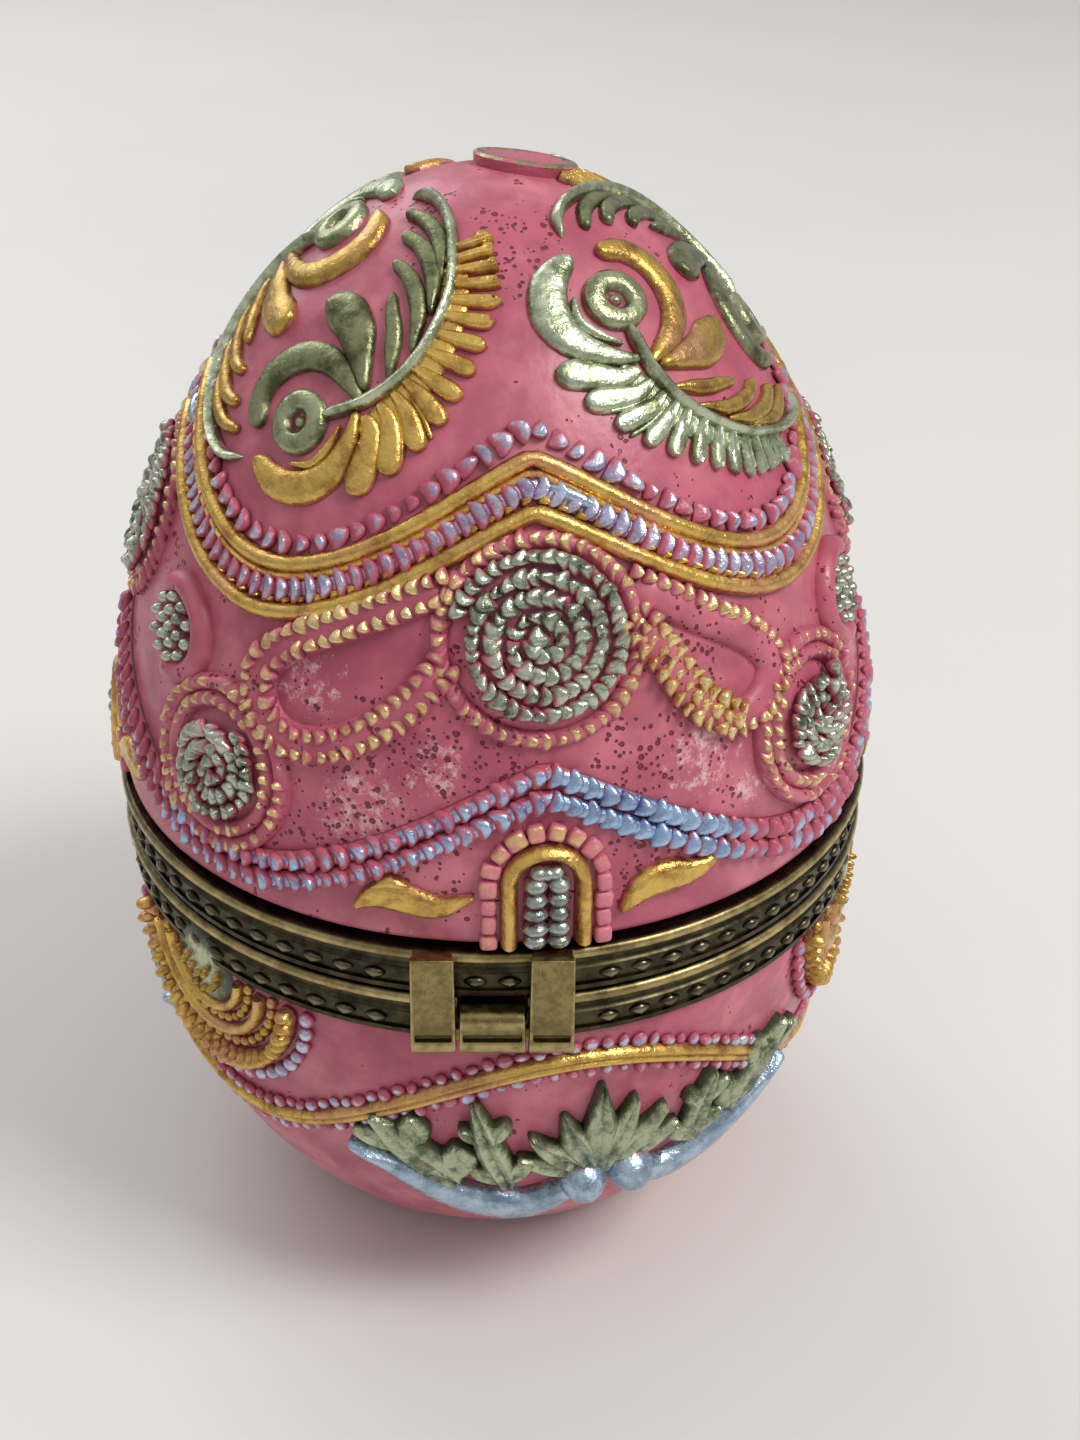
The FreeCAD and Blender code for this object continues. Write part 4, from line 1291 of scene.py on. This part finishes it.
def make_clasp():
    """Tongue with a curled thumb lip."""
    outer = TONGUE_LOW.y
    face = TONGUE_HIGH.y - 0.9
    outline = [(face - 0.6, TONGUE_HIGH.z), (face, TONGUE_HIGH.z), (face, TONGUE_LOW.z + 1.1),
               (face + 0.25, TONGUE_LOW.z + 0.65), (TONGUE_HIGH.y, TONGUE_LOW.z + 0.5),
               (TONGUE_HIGH.y, TONGUE_LOW.z + 0.05), (face + 0.1, TONGUE_LOW.z), (face - 0.35, TONGUE_LOW.z + 0.35),
               (face - 0.6, TONGUE_LOW.z + 1.0)]
    tongue = plate_piece("clasp_tongue_formed", outline, TONGUE_LOW.x, TONGUE_HIGH.x, "lid", bevel=0.14)
    plate_piece("clasp_tongue_solder", [
        (outer + 0.1, LID_BAND_LOW.z + 0.5), (outer + 0.1, LID_BAND_HIGH.z - 0.2),
        (face - 0.5, LID_BAND_HIGH.z - 0.1), (face - 0.5, LID_BAND_LOW.z + 0.5)],
        TONGUE_LOW.x + 0.2, TONGUE_HIGH.x - 0.2, "lid")
    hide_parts("clasp_tongue")


def dress_cad_nodes():
    """Finishes for the CAD pieces that are shown as they are."""
    finishes = {"lid_bezel": BRASS, "base_bezel": BRASS, "locating_collar": BRASS, "hinge_pin": BRASS,
                "clasp_catch": BRASS, "lid_cement": CEMENT, "base_cement": CEMENT}
    for node, material in finishes.items():
        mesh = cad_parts[node].data
        mesh.materials.clear()
        mesh.materials.append(material)


make_lid_shell()
make_base_shell()
make_lid_waves()
make_rosettes()
make_loops()
make_swag()
make_arches()
make_medallions()
make_tip_disc()
make_base_waves()
make_base_fans()
make_garlands()
bezel_beads("lid_bezel_beads", LID_BAND_LOW.z, "lid",
            lambda x, y: 2.0 < abs(x) < 5.6 and y < 0 or abs(x) < 2.8 and y > 0)
bezel_beads("base_bezel_beads", BASE_BAND_LOW.z, "base",
            lambda x, y: abs(x) < 5.8 and y < 0 or abs(x) < 2.8 and y > 0)
make_hinge()
make_clasp()
dress_cad_nodes()


# ------------------------------------------------------------------ floor, light and camera
def make_stage():
    clear_selection()
    bpy.ops.mesh.primitive_plane_add(size=6.0, location=(0, 0, 0))
    floor = bpy.context.object
    floor.name = "floor"
    material, tree, shader = new_material("pale_floor")
    join(tree, mix(tree, noise(tree, 60.0, 2.0), (0.69, 0.68, 0.66), (0.73, 0.72, 0.70)),
         shader.inputs["Base Color"])
    shader.inputs["Roughness"].default_value = 0.55
    floor.data.materials.append(material)


def area_light(name, place, target, size, power, colour):
    data = bpy.data.lights.new(name, "AREA")
    data.size = size
    data.energy = power
    data.color = colour
    light = put_in_scene(name, data)
    light.location = place
    light.rotation_euler = (Vector(target) - Vector(place)).to_track_quat("-Z", "Y").to_euler()


def make_light():
    """A pale room, brighter overhead, with a soft lamp to the right and a weaker one behind."""
    world = bpy.data.worlds.new("soft_room")
    world.use_nodes = True
    tree = world.node_tree
    place = tree.nodes.new("ShaderNodeTexCoord").outputs["Generated"]
    parts = tree.nodes.new("ShaderNodeSeparateXYZ")
    join(tree, place, parts.inputs[0])
    colour = mix(tree, ramp(tree, parts.outputs[2], -0.1, 0.9), (0.40, 0.395, 0.385), (1.0, 0.99, 0.975))
    join(tree, colour, tree.nodes["Background"].inputs[0])
    tree.nodes["Background"].inputs[1].default_value = 0.665
    bpy.context.scene.world = world
    area_light("key", (0.42, -0.22, 0.62), (0, 0, 0.04), 0.26, 3.3, (1.0, 0.98, 0.94))
    area_light("back", (-0.35, 0.55, 0.5), (0, 0, 0.05), 0.5, 1.8, (0.97, 0.98, 1.0))


def make_camera():
    """Stands close and looks down at the hinge side."""
    distance, elevation, look_level = 129.0, 30.9, 38.0
    data = bpy.data.cameras.new("camera")
    data.lens = 42.5
    data.sensor_width = 36
    data.shift_x = 0.033
    data.shift_y = -0.0017
    data.clip_start = 0.005
    camera = put_in_scene("camera", data)
    tilt = math.radians(elevation)
    back = Vector((0, -math.cos(tilt), math.sin(tilt)))
    camera.location = (Vector((0, 0, look_level)) + back * distance) * MM
    camera.rotation_euler = (-back).to_track_quat("-Z", "Y").to_euler()
    bpy.context.scene.camera = camera
    bpy.context.scene.view_settings.view_transform = "Standard"


make_stage()
make_light()
make_camera()
